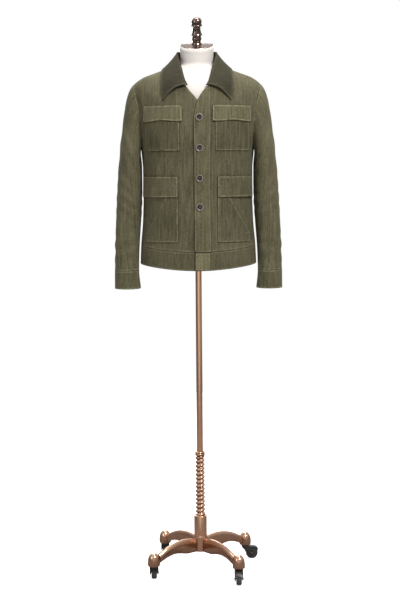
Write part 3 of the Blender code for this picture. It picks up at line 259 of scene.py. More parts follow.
# Drag folds in mm and degrees, on both sides of the body. The first eight are the solid's own, and the others
# are the smaller ones that light picks out.
FOLDS = (
    # face, x, z, half_length, turn, half_width, height
    (-1, 112, 1300, 70, 14, 28, 2.2),
    (-1, 62, 1290, 90, -10, 28, -1.6),
    (-1, 108, 1132, 90, 18, 34, 1.4),
    (-1, 146, 1406, 60, -14, 30, 1.2),
    (1, 62, 1200, 150, 3, 30, 4.0),
    (1, 122, 1230, 140, -6, 28, 3.4),
    (1, 150, 1376, 80, 14, 26, 2.4),
    (1, 0, 1150, 120, 0, 34, -2.4),
    (-1, 150, 1330, 44, 34, 9, 1.1),
    (-1, 158, 1296, 40, 26, 8, 0.9),
    (-1, 128, 1306, 34, 20, 8, -0.9),
    (-1, 90, 1292, 60, 6, 9, 0.9),
    (-1, 60, 1106, 60, -4, 10, 0.8),
    (-1, 150, 1520, 36, -52, 10, 1.0),
    (-1, 168, 1490, 34, -30, 9, 0.9),
    (1, 150, 1320, 60, -30, 12, 1.8),
    (1, 132, 1290, 60, -38, 11, 1.4),
    (1, 92, 1330, 110, 4, 14, 1.2),
    (1, 30, 1280, 120, -3, 12, 1.0),
    (1, 158, 1110, 70, -10, 14, 1.2),
)


def smooth_table(table, column, at):
    """A column of a table at the values `at` of its first column, on a smooth curve through its rows."""
    rows = np.array(table, float)
    rows = rows[np.argsort(rows[:, 0])]
    knots = rows[:, 0]
    values = rows[:, column]
    slopes = np.gradient(values, knots)
    at = np.clip(np.asarray(at, float), knots[0], knots[-1])
    row = np.clip(np.searchsorted(knots, at, side="right") - 1, 0, len(knots) - 2)
    step = knots[row + 1] - knots[row]
    part = (at - knots[row]) / step
    flow = step * (slopes[row] * (1 - part) - slopes[row + 1] * part)
    mix = part * part * (3 - 2 * part)
    return values[row] * (1 - mix) + values[row + 1] * mix + part * (1 - part) * flow


def ease(low, high, value):
    """0 below low, 1 above high and a soft rise between."""
    part = np.clip((np.asarray(value, float) - low) / (high - low), 0, 1)
    return part * part * (3 - 2 * part)


RING_ANGLES = math.pi / 2 * ease(0, 1, np.linspace(0, 1, 193))
GRID_LOW = 950 * MM
GRID_STEP = 2 * MM
GRID_LEVELS = GRID_LOW + GRID_STEP * np.arange(342)
GRID_SHARES = 241


def torso_grid(face):
    """x and y of the torso over all levels and shares of the quarter's arc, and each level's arc length."""
    z = GRID_LEVELS / MM
    power = (2 / smooth_table(TORSO, 4, z))[:, None]
    depth = smooth_table(TORSO, 2 if face < 0 else 3, z)[:, None] * MM
    half_width = smooth_table(TORSO, 1, z)[:, None] * MM
    x = half_width * np.sin(RING_ANGLES) ** power
    y = face * depth * np.clip(np.cos(RING_ANGLES), 0, 1) ** power
    arc = np.cumsum(np.hypot(np.diff(x, axis=1), np.diff(y, axis=1)), axis=1)
    arc = np.concatenate([np.zeros((len(z), 1)), arc], axis=1)
    shares = np.linspace(0, 1, GRID_SHARES)
    grid = np.empty((len(z), GRID_SHARES, 2))
    for level in range(len(z)):
        grid[level, :, 0] = np.interp(shares * arc[level, -1], arc[level], x[level])
        grid[level, :, 1] = np.interp(shares * arc[level, -1], arc[level], y[level])
    return grid, arc[:, -1]


TORSO_GRIDS = {-1: torso_grid(-1), 1: torso_grid(1)}


def bare_point(side, z, face):
    """The smooth torso at side (-1 to 1, + is the wearer's left) and height z."""
    side, z = np.broadcast_arrays(np.asarray(side, float), np.asarray(z, float))
    grid = TORSO_GRIDS[face][0]
    level = np.clip((z - GRID_LOW) / GRID_STEP, 0, len(grid) - 1.001)
    share = np.clip(np.abs(side), 0, 1) * (GRID_SHARES - 1)
    share = np.minimum(share, GRID_SHARES - 1.0001)
    row, column = level.astype(int), share.astype(int)
    up, along = (level - row)[..., None], (share - column)[..., None]
    low = grid[row, column] * (1 - along) + grid[row, column + 1] * along
    high = grid[row + 1, column] * (1 - along) + grid[row + 1, column + 1] * along
    found = low * (1 - up) + high * up
    return np.stack([found[..., 0] * np.sign(side), found[..., 1], z], axis=-1)


def side_of(x, z, face=-1):
    """The share of the arc at which the front view shows the signed distance x."""
    x, z = np.broadcast_arrays(np.asarray(x, float), np.asarray(z, float))
    shares = np.linspace(0, 1, GRID_SHARES)
    found = []
    for want, height in zip(x.ravel(), z.ravel()):
        line = bare_point(shares, height, face)[:, 0]
        found.append(math.copysign(float(np.interp(abs(want), line, shares)), want))
    return np.array(found).reshape(x.shape)


def fold_height(point, face):
    """How far the folds push the cloth out at these points of the bare torso."""
    out = np.zeros(point.shape[:-1])
    for fold_face, x, z, half_length, turn, half_width, height in FOLDS:
        if fold_face != face:
            continue
        angle = math.radians(turn)
        for mirror in (-1, 1) if x else (1,):
            off_x = point[..., 0] / MM * mirror - x
            off_z = point[..., 2] / MM - z
            across = off_x * math.cos(angle) + off_z * math.sin(angle)
            along = off_z * math.cos(angle) - off_x * math.sin(angle)
            out += height * MM * np.exp(-((across / half_width) ** 2) - (along / half_length) ** 4)
    return out * ease(0, 60 * MM, SHOULDER_Z - point[..., 2])


def cloth_point(side, z, face, out=0.0):
    """A point of the worn cloth: on the torso with its folds, moved out square to the surface."""
    side, z = np.broadcast_arrays(np.asarray(side, float), np.asarray(z, float))
    base = bare_point(side, z, face)
    before, beyond = (np.clip(side + step, -1, 1) for step in (-0.01, 0.01))
    across = bare_point(beyond, z, face) - bare_point(before, z, face)
    upward = bare_point(side, z + MM, face) - bare_point(side, z - MM, face)
    normal = np.cross(across, upward)
    normal /= np.linalg.norm(normal, axis=-1, keepdims=True) + 1e-12
    outward = base * np.array([1, 1, 0])
    flip = np.sign(np.sum(normal * outward, axis=-1, keepdims=True) + 1e-15)
    reach = np.asarray(out, float) + fold_height(base, face)
    return base + normal * flip * reach[..., None]


def cloth_layers(side, z, face, out=0.0):
    """The inner and outer face of a cloth whose middle is moved out by this much."""
    return cloth_point(side, z, face, out - CLOTH / 2), cloth_point(side, z, face, out + CLOTH / 2)


def hem_z(side):
    """Height of the hem at this share of the arc."""
    return HEM_FRONT + HEM_RISE * np.sin(np.abs(side) * math.pi / 2) ** 2


def armhole_sides(z, face):
    """Arc shares of the armhole seam at these heights."""
    sides = side_of(smooth_table(ARMHOLE, 1, z / MM) * MM, z, face)
    sides[(z <= ARMPIT_Z + 1e-9) | (z >= SHOULDER_Z - 1e-9)] = 1
    return np.minimum(sides, RIDGE)


def outer_edge(face, low, seam_rows, arm_rows):
    """Side seam, armhole and shoulder point of a body panel, as rows of (side, z) on the wearer's left."""
    seam_z = np.linspace(low, ARMPIT_Z, seam_rows + 1)[:-1]
    turn = np.linspace(math.pi, 0, arm_rows + 1)
    arm_z = (SHOULDER_Z + ARMPIT_Z) / 2 + (SHOULDER_Z - ARMPIT_Z) / 2 * np.cos(turn)
    side = np.concatenate([np.full(seam_rows, RIDGE), armhole_sides(arm_z, face)])
    return np.stack([side, np.concatenate([seam_z, arm_z])], axis=-1)


def line_lengths(grid, axis):
    """Distances from the first point of each line of a grid of points, along rows (0) or columns (1)."""
    steps = np.linalg.norm(np.diff(grid, axis=axis), axis=-1)
    start = np.zeros_like(np.take(steps, [0], axis=axis))
    return np.concatenate([start, np.cumsum(steps, axis=axis)], axis=axis)


def turn_outwards(mesh):
    """Makes the faces of a closed mesh point outwards."""
    work = bmesh.new()
    work.from_mesh(mesh)
    bmesh.ops.recalc_face_normals(work, faces=work.faces)
    if work.calc_volume(signed=True) < 0:
        bmesh.ops.reverse_faces(work, faces=work.faces)
    work.to_mesh(mesh)
    work.free()


def fit_piece(name, mesh, material, body, nodes, smooth_angle):
    """A finished piece in place of some CAD nodes, with its finish, riding on their body."""
    mesh.shade_smooth()
    mesh.set_sharp_from_angle(angle=math.radians(smooth_angle))
    mesh.materials.clear()
    mesh.materials.append(material)
    piece = link_object(name, mesh)
    for node in nodes:
        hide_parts(node)
    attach(piece, body)
    return piece


def show(name, points, faces, material, body, node, slot_name, smooth_angle=40):
    """A finished piece from points and faces, in place of a CAD node or of none."""
    mesh = bpy.data.meshes.new(name)
    mesh.from_pydata(np.asarray(points, float).tolist(), [], [list(map(int, face)) for face in faces])
    mesh.validate()
    turn_outwards(mesh)
    return fit_piece(name, mesh, material, body, [node] if node else [], smooth_angle)


def make_wales():
    """The corduroy's ribs: a tone, darkened along each edge as painted shade, worn edges and a height from
    the cut's own across and along, in metres.
    """
    group = bpy.data.node_groups.new("wales", "ShaderNodeTree")
    for label, default in (("Pitch", WALE), ("Edge Wear", 0.5), ("Pile Drift", 0.5)):
        socket = group.interface.new_socket(label, in_out="INPUT", socket_type="NodeSocketFloat")
        socket.default_value = default
    for label in ("Rib", "Wear", "Height"):
        group.interface.new_socket(label, in_out="OUTPUT", socket_type="NodeSocketFloat")
    take = add_node(group, "NodeGroupInput").outputs
    cut = add_node(group, "ShaderNodeUVMap", uv_map="cut").outputs["UV"]
    place = add_node(group, "ShaderNodeTexCoord").outputs["Object"]
    from_edge = add_node(group, "ShaderNodeAttribute", attribute_name="edge").outputs["Fac"]

    def calc(operation, *values):
        return math_out(group, operation, *values)

    def noise(scale, detail, vector=place):
        sockets = {"Scale": scale, "Detail": detail, "Vector": vector}
        return add_node(group, "ShaderNodeTexNoise", sockets).outputs["Fac"]

    def falling(distance, none_at, all_at):
        """0 where a distance is none_at or more, and 1 where it is all_at or less."""
        sockets = {"Value": distance, "From Min": none_at, "From Max": all_at}
        return add_node(group, "ShaderNodeMapRange", sockets).outputs["Result"]

    round_cut = add_node(group, "ShaderNodeSeparateXYZ", {0: cut}).outputs["X"]
    across = calc("ADD", round_cut, calc("MULTIPLY", noise(28, 2), RIB_SWAY))
    rib = calc("SINE", calc("MULTIPLY", calc("DIVIDE", across, take["Pitch"]), 2 * math.pi))
    rib = calc("POWER", calc("MULTIPLY_ADD", rib, 0.5, 0.5), 0.6)
    stretched = add_node(group, "ShaderNodeMapping", {"Vector": cut, "Scale": (1, 0.08, 1)}).outputs["Vector"]
    streaks, patches, rubs, pile = noise(170, 3, stretched), noise(11, 4), noise(190, 3), noise(1900, 2)
    drift = calc("MULTIPLY_ADD", streaks, 2.3, calc("MULTIPLY", patches, 1.3))
    drift = calc("SUBTRACT", calc("MULTIPLY_ADD", rubs, 1.6, drift), 2.65)
    drift = calc("MULTIPLY", drift, take["Pile Drift"])
    tone = calc("MULTIPLY_ADD", rib, 0.50, calc("ADD", 0.22, drift))
    tone = calc("ADD", tone, calc("MULTIPLY_ADD", pile, 0.14, -0.07))
    # Painted shade: the outermost 1.8 mm of every piece is darkened, as shadow along its edge.
    tone = calc("SUBTRACT", tone, calc("MULTIPLY", falling(from_edge, 1.8 * MM, 0.4 * MM), 0.55))
    on_ridge = falling(calc("ABSOLUTE", calc("SUBTRACT", from_edge, RUBBED_AT)), 2.4 * MM, 1.0 * MM)
    ragged = calc("MULTIPLY_ADD", noise(90, 3), 3.0, -0.9)
    wear = calc("MULTIPLY", calc("MULTIPLY", on_ridge, ragged), take["Edge Wear"])
    groove = falling(calc("ABSOLUTE", calc("SUBTRACT", from_edge, SUNK_AT)), 2.6 * MM, 0.0)
    pucker = calc("MULTIPLY", noise(120, 2), groove)
    height = calc("MULTIPLY_ADD", rib, 0.55, calc("MULTIPLY", pile, 0.3))
    height = calc("SUBTRACT", height, calc("MULTIPLY", groove, 0.9))
    height = calc("ADD", height, calc("MULTIPLY", pucker, 1.6))
    add_node(group, "NodeGroupOutput", {"Rib": tone, "Wear": wear, "Height": height})
    return group


WALES = make_wales()


def add_bump(tree, shader, height, strength, distance):
    """Joins a height to a shader's normal."""
    sockets = {"Height": height, "Strength": strength, "Distance": distance}
    tree.links.new(add_node(tree, "ShaderNodeBump", sockets).outputs["Normal"], shader.inputs["Normal"])


def tinted(colour, factor):
    """A colour made lighter or darker by a factor."""
    return tuple(channel * factor for channel in colour[:3]) + (1,)


def needlecord(name, light=1.0, dark=1.0, wear=0.5, drift=0.5, sheen=0.13):
    """Cut-pile cotton in the jacket's tones, which on some pieces are scaled lighter as painted light: dull
    with a soft sheen, pale where it is rubbed, and darker along its edges as painted shade.
    """
    material, tree, shader = new_material(
        name,
        Roughness=0.93,
        Specular_IOR_Level=0.22,
        Sheen_Weight=sheen,
        Sheen_Roughness=0.4,
        Sheen_Tint=SHEEN_TINT,
    )
    crest = tinted(CORD_LIGHT, light)
    ribs = add_node(tree, "ShaderNodeGroup", node_tree=WALES)
    ribs.inputs["Edge Wear"].default_value = wear
    ribs.inputs["Pile Drift"].default_value = drift
    colour = mix_out(tree, ribs.outputs["Rib"], tinted(CORD_DARK, dark), crest)
    colour = mix_out(tree, ribs.outputs["Wear"], colour, tinted(crest, RUBBED))
    tree.links.new(colour, shader.inputs["Base Color"])
    add_bump(tree, shader, ribs.outputs["Height"], 0.55, 0.5 * MM)
    return material


body_cord = needlecord("body_cord")


def upright(side, z, face):
    """Distances of these places round from the middle of the torso and up, which is how its ribs are cut."""
    level = np.clip((z - GRID_LOW) / GRID_STEP, 0, len(GRID_LEVELS) - 1)
    return side * np.interp(level, np.arange(len(GRID_LEVELS)), TORSO_GRIDS[face][1]), z + 0 * side


def sew_wall(node, inner, outer, material, held, rests_on, grain=None, around=False, slot_name="needlecord"):
    """A node's cloth between two grids of points, with its own cut as UV map and the sheet it is cut from."""
    name = "strip_foot_cloth" if node == "front_strip_foot" else f"{node}_cloth"
    rows, columns = inner.shape[:2]
    middle = (inner + outer) / 2
    if around:
        middle = np.concatenate([middle, middle[:, :1]], axis=1)
    across = from_start = line_lengths(middle, 1)
    along = line_lengths(middle, 0)
    edge = np.minimum(along, along[-1][None, :] - along)
    if not around:
        across = from_start - from_start[:, [columns // 2]]
        edge = np.minimum(edge, np.minimum(from_start, from_start[:, -1:] - from_start))
    size = rows * columns
    spans = columns if around else columns - 1

    def corner(layer, row, column):
        return layer * size + row * columns + column % columns

    faces, places = [], []
    for row in range(rows - 1):
        for column in range(spans):
            quad = [(row, column), (row, column + 1), (row + 1, column + 1), (row + 1, column)]
            for layer in (0, 1):
                faces.append([corner(layer, *at) for at in quad])
                places.append((quad, column))
    borders = [[(row, column) for column in range(spans + 1)] for row in (0, rows - 1)]
    if not around:
        borders += [[(row, column) for row in range(rows)] for column in (0, columns - 1)]
    for border in borders:
        for here, after in zip(border, border[1:]):
            faces.append([corner(0, *here), corner(0, *after), corner(1, *after), corner(1, *here)])
            places.append(([here, after, after, here], here[1]))
    points = np.concatenate([inner.reshape(-1, 3), outer.reshape(-1, 3)])
    mesh = bpy.data.meshes.new(name)
    mesh.from_pydata(points.tolist(), [], faces)
    cut = mesh.uv_layers.new(name="cut")
    cut_across, cut_along = grain or (across, along)
    uv = []
    for quad, first in places:
        for row, column in quad:
            # A tube is cut open along its inside: past half way its distances count from the other side.
            back_by = cut_across[row, -1] if around and first >= columns // 2 else 0
            uv.append((cut_across[row, column] - back_by, cut_along[row, column]))
    cut.data.foreach_set("uv", np.array(uv, np.float32).ravel())
    edge_shown = edge[:, :columns]
    store = mesh.attributes.new("edge", "FLOAT", "POINT")
    store.data.foreach_set("value", np.concatenate([edge_shown.ravel()] * 2).astype(np.float32))
    turn_outwards(mesh)
    piece = fit_piece(name, mesh, material, "upper", [node], 50)
    return piece


stitch_paths = []


def stitch_row(inner, outer, edge, inset, trim=0.0):
    """A row of stitches on a piece, at a distance in from one of its edges: low, high, near or far."""
    outwards = (outer - inner) / np.linalg.norm(outer - inner, axis=-1, keepdims=True)
    sheet = outer + outwards * THREAD_LIFT
    turned_sheet = {
        "low": sheet,
        "high": sheet[::-1],
        "near": sheet.transpose(1, 0, 2),
        "far": sheet[:, ::-1].transpose(1, 0, 2),
    }[edge]
    distance = line_lengths(turned_sheet, 0)
    line = np.empty((turned_sheet.shape[1], 3))
    for column in range(len(line)):
        for axis in range(3):
            line[column, axis] = np.interp(inset, distance[:, column], turned_sheet[:, column, axis])
    along = line_lengths(line[:, None], 0)[:, 0]
    want = np.linspace(trim, along[-1] - trim, max(3, len(line)))
    stitch_paths.append(np.stack([np.interp(want, along, line[:, axis]) for axis in range(3)], axis=-1))


def stitch_edges(layers, edges, *rows):
    """The same rows of stitches along several edges of a piece, each row as (inset, trim) in mm."""
    for edge in edges:
        for inset, trim in rows:
            stitch_row(*layers, edge, inset * MM, trim * MM)


BACK_ROWS = 44
BACK_ARM_ROWS = 40
BACK_COLUMNS = 121
seam_low = hem_z(0) + WAISTBAND + SEAM
side_low = hem_z(1) + WAISTBAND + SEAM
edge = outer_edge(1, side_low, BACK_ROWS, BACK_ARM_ROWS)
share = np.linspace(-1, 1, BACK_COLUMNS)
along = np.abs(share)[None, :]
up = np.linspace(0, 1, len(edge))[:, None]
on_neck = np.minimum(along / NECK_SHARE, 1)
on_shoulder = np.clip((along - NECK_SHARE) / (1 - NECK_SHARE), 0, 1)
top_z = BACK_NECK_Z + (NECK_POINT_Z - BACK_NECK_Z) * on_neck**2 + (SHOULDER_Z - NECK_POINT_Z) * on_shoulder
bottom_z = hem_z(along) + WAISTBAND + SEAM
straight_z = (1 - up) * side_low + up * SHOULDER_Z
side = (up * on_neck * RIDGE + along * (edge[:, :1] - up * RIDGE)) * np.sign(share)[None, :]
z = (1 - up) * bottom_z + up * top_z + along * (edge[:, 1:] - straight_z)
layers = cloth_layers(side, z, 1)
sew_wall("back", *layers, body_cord, "hung", ["form_cover"], upright(side, z, 1))
stitch_edges(layers, ["low"], (2, 4), (8, 4))

# ---------------------------------------------------------------- fronts
# Two fronts of the same cloth. The wearer's left one laps over the right one, and both open into a V at the
# neck. They are sewn to the back at the shoulders and the sides.
FRONT_EDGE = -11 * MM
NECKLINE = (
    # z, x
    (1610, 66.0),
    (1602, 63.0),
    (1588, 56.0),
    (1562, 45.0),
    (1539, 35.0),
)
LEFT_ROLL = ((-11, 1413), (-10.5, 1437), (-8, 1456), (-3, 1481), (5, 1501), (17, 1520))
RIGHT_ROLL = ((34, 1403), (30, 1434), (20, 1464), (8, 1487), (-8, 1506), (-22, 1522))
FRONT_ROWS = 44
FRONT_ARM_ROWS = 40
FRONT_COLUMNS = 70
NECK_ROWS = 21
METRES_A_SIDE = 0.27  # about the arc of one front
LIFT_FULL, LIFT_GONE = UNDERLAP + 8 * MM, UNDERLAP + 38 * MM  # where the left front lies on the right one


def spread(points, count):
    """This many points evenly along a line of (side, z) points, with side counted in metres."""
    points = np.array(points, float)
    steps = np.hypot(np.diff(points[:, 0]) * METRES_A_SIDE, np.diff(points[:, 1]))
    distance = np.concatenate([[0], np.cumsum(steps)])
    want = np.linspace(0, distance[-1], count)
    return np.stack([np.interp(want, distance, points[:, column]) for column in (0, 1)], axis=-1)


def front_neckline(count):
    """Neckline of a front from its front end up to the shoulder, as (side, z)."""
    heights = np.linspace(NECKLINE[-1][0], NECKLINE[0][0], count) * MM
    sides = side_of(smooth_table(NECKLINE, 1, heights / MM) * MM, heights)
    sides[-1] = RIDGE
    return np.stack([sides, heights], axis=-1)


def over_lift(side, z):
    """The left front rises by one layer where it laps over the right one."""
    x = bare_point(side, z, -1)[..., 0]
    return OVERLAP * (1 - ease(LIFT_FULL, LIFT_GONE, x))


def fill_between(left, right, columns):
    """Straight spans in (side, z) between two edges given row by row."""
    part = np.linspace(0, 1, columns)[None, :, None]
    return left[:, None, :] * (1 - part) + right[:, None, :] * part


for word, sign, low_x, roll in (("left", 1, FRONT_EDGE, LEFT_ROLL), ("right", -1, -UNDERLAP, RIGHT_ROLL)):
    points = [(low_x, seam_low)] + [(x * MM * sign, height * MM) for x, height in roll]
    edge_line = [(float(side_of(x, height)), height) for x, height in points]
    neck = front_neckline(NECK_ROWS)
    rows = FRONT_ROWS + FRONT_ARM_ROWS + 1
    left = np.concatenate([spread(edge_line + [tuple(neck[0])], rows - NECK_ROWS + 1), neck[1:]])
    right = outer_edge(-1, side_low, FRONT_ROWS, FRONT_ARM_ROWS)
    places = fill_between(left, right, FRONT_COLUMNS)
    drop = np.linspace(1, 0, rows)[:, None] ** 3
    places[..., 1] += drop * (hem_z(places[..., 0]) + WAISTBAND + SEAM - places[0, :, 1][None, :])
    side, z = places[..., 0] * sign, places[..., 1]
    lift = over_lift(side, z) if sign > 0 else 0
    layers = cloth_layers(side, z, -1, lift)
    sew_wall(f"front_{word}", *layers, body_cord, "hung", ["form_cover"], upright(side, z, -1))
    stitch_edges(layers, ["low"], (2, 4), (8, 4))

# ---------------------------------------------------------------- waistband
# A straight band of the same cloth round the hem, in three lengths, sewn to the body along its upper edge and
# open at the front like the fronts above it.
waist_cord = needlecord("waist_cord", 0.93, 0.9)
overlap_side = float(side_of(FRONT_EDGE, HEM_FRONT))
under_side = float(side_of(UNDERLAP, HEM_FRONT))
for name, from_side, to_side, columns, face, lifted in (
    ("waistband_front_left", overlap_side, RIDGE, 70, -1, True),
    ("waistband_front_right", -RIDGE, under_side, 80, -1, False),
    ("waistband_back", -RIDGE, RIDGE, 121, 1, False),
):
    side = np.linspace(from_side, to_side, columns)[None, :] + np.zeros((15, 1))
    z = hem_z(side) + np.linspace(0, WAISTBAND, 15)[:, None]
    lift = over_lift(side, z) if lifted else 0
    layers = cloth_layers(side, z, face, lift)
    sew_wall(name, *layers, waist_cord, "hung", ["back_cloth"])
    stitch_edges(layers, ["high"], (2, 3))
    stitch_edges(layers, ["low"], (2.5, 3))

# ---------------------------------------------------------------- buttoned strip
# The strip down the wearer's left edge is a second layer that carries the buttonholes. It ends in a short
# foot on the waistband. Both are given a lighter tone of the cloth as painted light, the foot much lighter.
STRIP_WIDTH = 49 * MM
STRIP_TOP = 1536 * MM
STRIP_ROWS = 110
STRIP_COLUMNS = 14
FOOT_ROWS = 15
# Painted light: the strip is a lighter copy of the cloth, and its foot a much lighter one.
painted_lit_strip_cord = needlecord("painted_lit_strip_cord", 1.12, 1.15, 0.35)
painted_lit_foot_cord = needlecord("painted_lit_foot_cord", 1.5, 1.6, 0.3)
strip_low = HEM_FRONT + WAISTBAND + SEAM
points = [(FRONT_EDGE, strip_low)] + [(x * MM, height * MM) for x, height in LEFT_ROLL]
left = spread([(float(side_of(x, height)), height) for x, height in points], STRIP_ROWS)
near = np.full(STRIP_ROWS, float(side_of(FRONT_EDGE + STRIP_WIDTH, 1.2)))
right = np.stack([near, np.linspace(strip_low, STRIP_TOP, STRIP_ROWS)], axis=-1)
side, z = np.moveaxis(fill_between(left, right, STRIP_COLUMNS), -1, 0)
layers = cloth_layers(side, z, -1, LAYER + over_lift(side, z))
sew_wall("front_strip", *layers, painted_lit_strip_cord, "laid", ["front_left_cloth"], upright(side, z, -1))
stitch_edges(layers, ["near", "far"], (2, 3))
foot_z = np.linspace(HEM_FRONT + 1.5 * MM, HEM_FRONT + WAISTBAND - 1.5 * MM, FOOT_ROWS)
foot_left = np.stack([side_of(FRONT_EDGE + 3 * MM, foot_z), foot_z], axis=-1)
foot_right = np.stack([side_of(FRONT_EDGE + STRIP_WIDTH - 2 * MM, foot_z), foot_z], axis=-1)
side, z = np.moveaxis(fill_between(foot_left, foot_right, STRIP_COLUMNS), -1, 0)
layers = cloth_layers(side, z, -1, LAYER + over_lift(side, z))
sew_wall("front_strip_foot", *layers, painted_lit_foot_cord, "laid", ["waistband_front_left_cloth"])
stitch_edges(layers, ["low", "high", "near", "far"], (2, 2))

# ---------------------------------------------------------------- pockets and flaps
# Patch pockets of one layer are sewn on at the sides and the bottom; the hip ones leave a slanted edge open
# for the hand. Each has a flap sewn on above it, which hangs a little off its lower edge.
CHEST_POCKET = {"near": 53.5, "far": 156.0, "bottom": 1341, "top": 1466}
CHEST_FLAP = {"near": 45.5, "far": 160.5, "bottom": 1433, "top": 1478}
HIP_POCKET = {"near": 59.5, "far": 157.0, "bottom": 1062, "top": 1244}
HIP_FLAP = {"near": 60.0, "far": 164.0, "bottom": 1200, "top": 1264}
HIP_ENTRY = {"low": 1088, "high": 1198, "far": 157.0, "near": 99.0}
FLAP_LIFT = 1.2 * MM
pocket_cord = needlecord("pocket_cord", 0.90, 0.85, 0.7)
# Painted light: the chest flaps are a lighter copy of the cloth.
painted_lit_flap_cord = needlecord("painted_lit_flap_cord", 1.22, 1.3, 0.75)
hip_flap_cord = needlecord("hip_flap_cord", 1.0, 1.0, 0.75)
FLAP_DROOP = 6 * MM
FLAP_RIPPLE = 0.5 * MM
POCKET_COLUMNS = 34
FLAP_ROWS = 24
FLAP_COLUMNS = 48
tack_places = []


def patch_places(sign, near, far, heights, columns):
    """Places of a flat piece between two upright edges, given as distances in mm from the middle."""
    edges = [np.stack([side_of(x * MM, heights) * sign, heights], -1) for x in (near, far)]
    return fill_between(*edges, columns)


def lay(node, sign, places, out, material, rests):
    """Sews one flat piece onto the front at this height out."""
    side, z = places[..., 0], places[..., 1]
    if sign > 0:
        out = out + over_lift(side, z)
    layers = cloth_layers(side, z, -1, out)
    sew_wall(node, *layers, material, "laid", [f"{rests}_cloth"], upright(side, z, -1))
    return layers


for word, sign in (("right", -1), ("left", 1)):
    level = np.linspace(CHEST_POCKET["bottom"], CHEST_POCKET["top"], 40) * MM
    places = patch_places(sign, CHEST_POCKET["near"], CHEST_POCKET["far"], level, POCKET_COLUMNS)
    layers = lay(f"chest_pocket_{word}", sign, places, LAYER, pocket_cord, f"front_{word}")
    stitch_edges(layers, ["low", "near", "far"], (1.8, 2), (7.5, 7.5))

    level = np.linspace(HIP_POCKET["bottom"], HIP_POCKET["top"], 56) * MM
    entry_heights = [HIP_ENTRY["low"], HIP_ENTRY["high"]]
    reach = np.interp(level / MM, entry_heights, [HIP_ENTRY["far"], HIP_ENTRY["near"]])
    places = patch_places(sign, HIP_POCKET["near"], reach, level, POCKET_COLUMNS)
    layers = lay(f"hip_pocket_{word}", sign, places, LAYER, pocket_cord, f"front_{word}")
    stitch_edges(layers, ["low", "near", "far"], (1.8, 2), (7.5, 7.5))
    entry_row = int(np.argmin(np.abs(level - HIP_ENTRY["low"] * MM)))
    tack_places.append((layers[1][entry_row, -1], layers[1][entry_row, -7]))

    for kind, sizes, droops, material in (
        ("chest", CHEST_FLAP, 1, painted_lit_flap_cord),
        ("hip", HIP_FLAP, 0, hip_flap_cord),
    ):
        level = np.linspace(sizes["bottom"], sizes["top"], FLAP_ROWS) * MM
        places = patch_places(sign, sizes["near"], sizes["far"], level, FLAP_COLUMNS)
        part = np.linspace(-1, 1, FLAP_COLUMNS)
        down = np.linspace(1, 0, FLAP_ROWS)[:, None]
        droop = droops * FLAP_DROOP * (1 - np.cos(part * math.pi * 0.95)) / 2 * (1 - 0.55 * part**2)
        places[..., 1] -= down * droop[None, :]
        ripple = FLAP_RIPPLE * np.sin(part * 9 + 1.3 * sign)[None, :] * down**2
        out = 2 * LAYER + down * FLAP_LIFT + ripple
        layers = lay(f"{kind}_flap_{word}", sign, places, out, material, f"{kind}_pocket_{word}")
        stitch_edges(layers, ["low", "near", "far", "high"], (1.8, 2))
        stitch_edges(layers, ["low", "near", "far"], (7.5, 7.5))
        stitch_edges(layers, ["high"], (7, 7.5))

# ---------------------------------------------------------------- sleeves and cuffs
# Set-in sleeves, each one tube of cloth that hangs empty from its armhole, soft at the elbow. A straight cuff
# is sewn on at its end.
SLEEVE = (
    # t, outer_x, outer_z, inner_x, inner_z, half_depth, forward
    (0.00, 198.5, 1545, 172.0, 1347, 50, 0),
    (0.03, 208.5, 1529, 174.6, 1342, 54, 0),
    (0.07, 218.0, 1502, 175.6, 1332, 59, 1),
    (0.13, 225.5, 1466, 175.6, 1318, 63, 2),
    (0.21, 232.5, 1415, 175.0, 1298, 66, 3),
    (0.32, 239.0, 1352, 174.6, 1269, 66, 6),
    (0.45, 246.2, 1275, 174.6, 1223, 64, 10),
    (0.60, 252.2, 1187, 176.4, 1165, 60, 15),
    (0.75, 256.6, 1107, 180.8, 1100, 56, 20),
    (0.88, 260.0, 1038, 185.2, 1036, 51, 25),
    (1.00, 261.2, 972, 186.8, 972, 47, 28),
    (1.25, 261.8, 915, 181.8, 915, 49, 30),
)
CUFF = 57 * MM
ARMHOLE_STANDOFF = 1.6 * MM
BACK_STANDOFF = 2.6 * MM
ARMPIT_STANDOFF = 3.8 * MM
SLEEVE_AROUND = 96
sleeve_cord = needlecord("sleeve_cord", 1.08, 1.05)
cuff_cord = needlecord("cuff_cord", 1.02, 1.0, 0.7)


def sleeve_rings(shares, angles):
    """Rings of the hanging sleeve at shares of its length: angle 0 is outside, -90 degrees in front."""
    none = np.zeros_like(shares)
    outside = np.stack([smooth_table(SLEEVE, 1, shares), none, smooth_table(SLEEVE, 2, shares)], -1)
    inside = np.stack([smooth_table(SLEEVE, 3, shares), none, smooth_table(SLEEVE, 4, shares)], -1)
    centre = (outside + inside) / 2
    centre[:, 1] -= smooth_table(SLEEVE, 6, shares)
    across = (outside - inside) / 2
    depth = smooth_table(SLEEVE, 5, shares)
    ring = centre[:, None, :] + across[:, None, :] * np.cos(angles)[None, :, None]
    ring[..., 1] += depth[:, None] * np.sin(angles)[None, :]
    return ring * MM


def ring_normals(rings, flat=False):
    """Outward unit normals of rings of points."""
    around = np.roll(rings, -1, axis=1) - np.roll(rings, 1, axis=1)
    normal = np.cross(around, np.gradient(rings, axis=0))
    if np.sum((rings - rings.mean(axis=1, keepdims=True)) * normal) < 0:
        normal = -normal
    if flat:
        normal[..., 2] = 0
    return normal / (np.linalg.norm(normal, axis=-1, keepdims=True) + 1e-12)


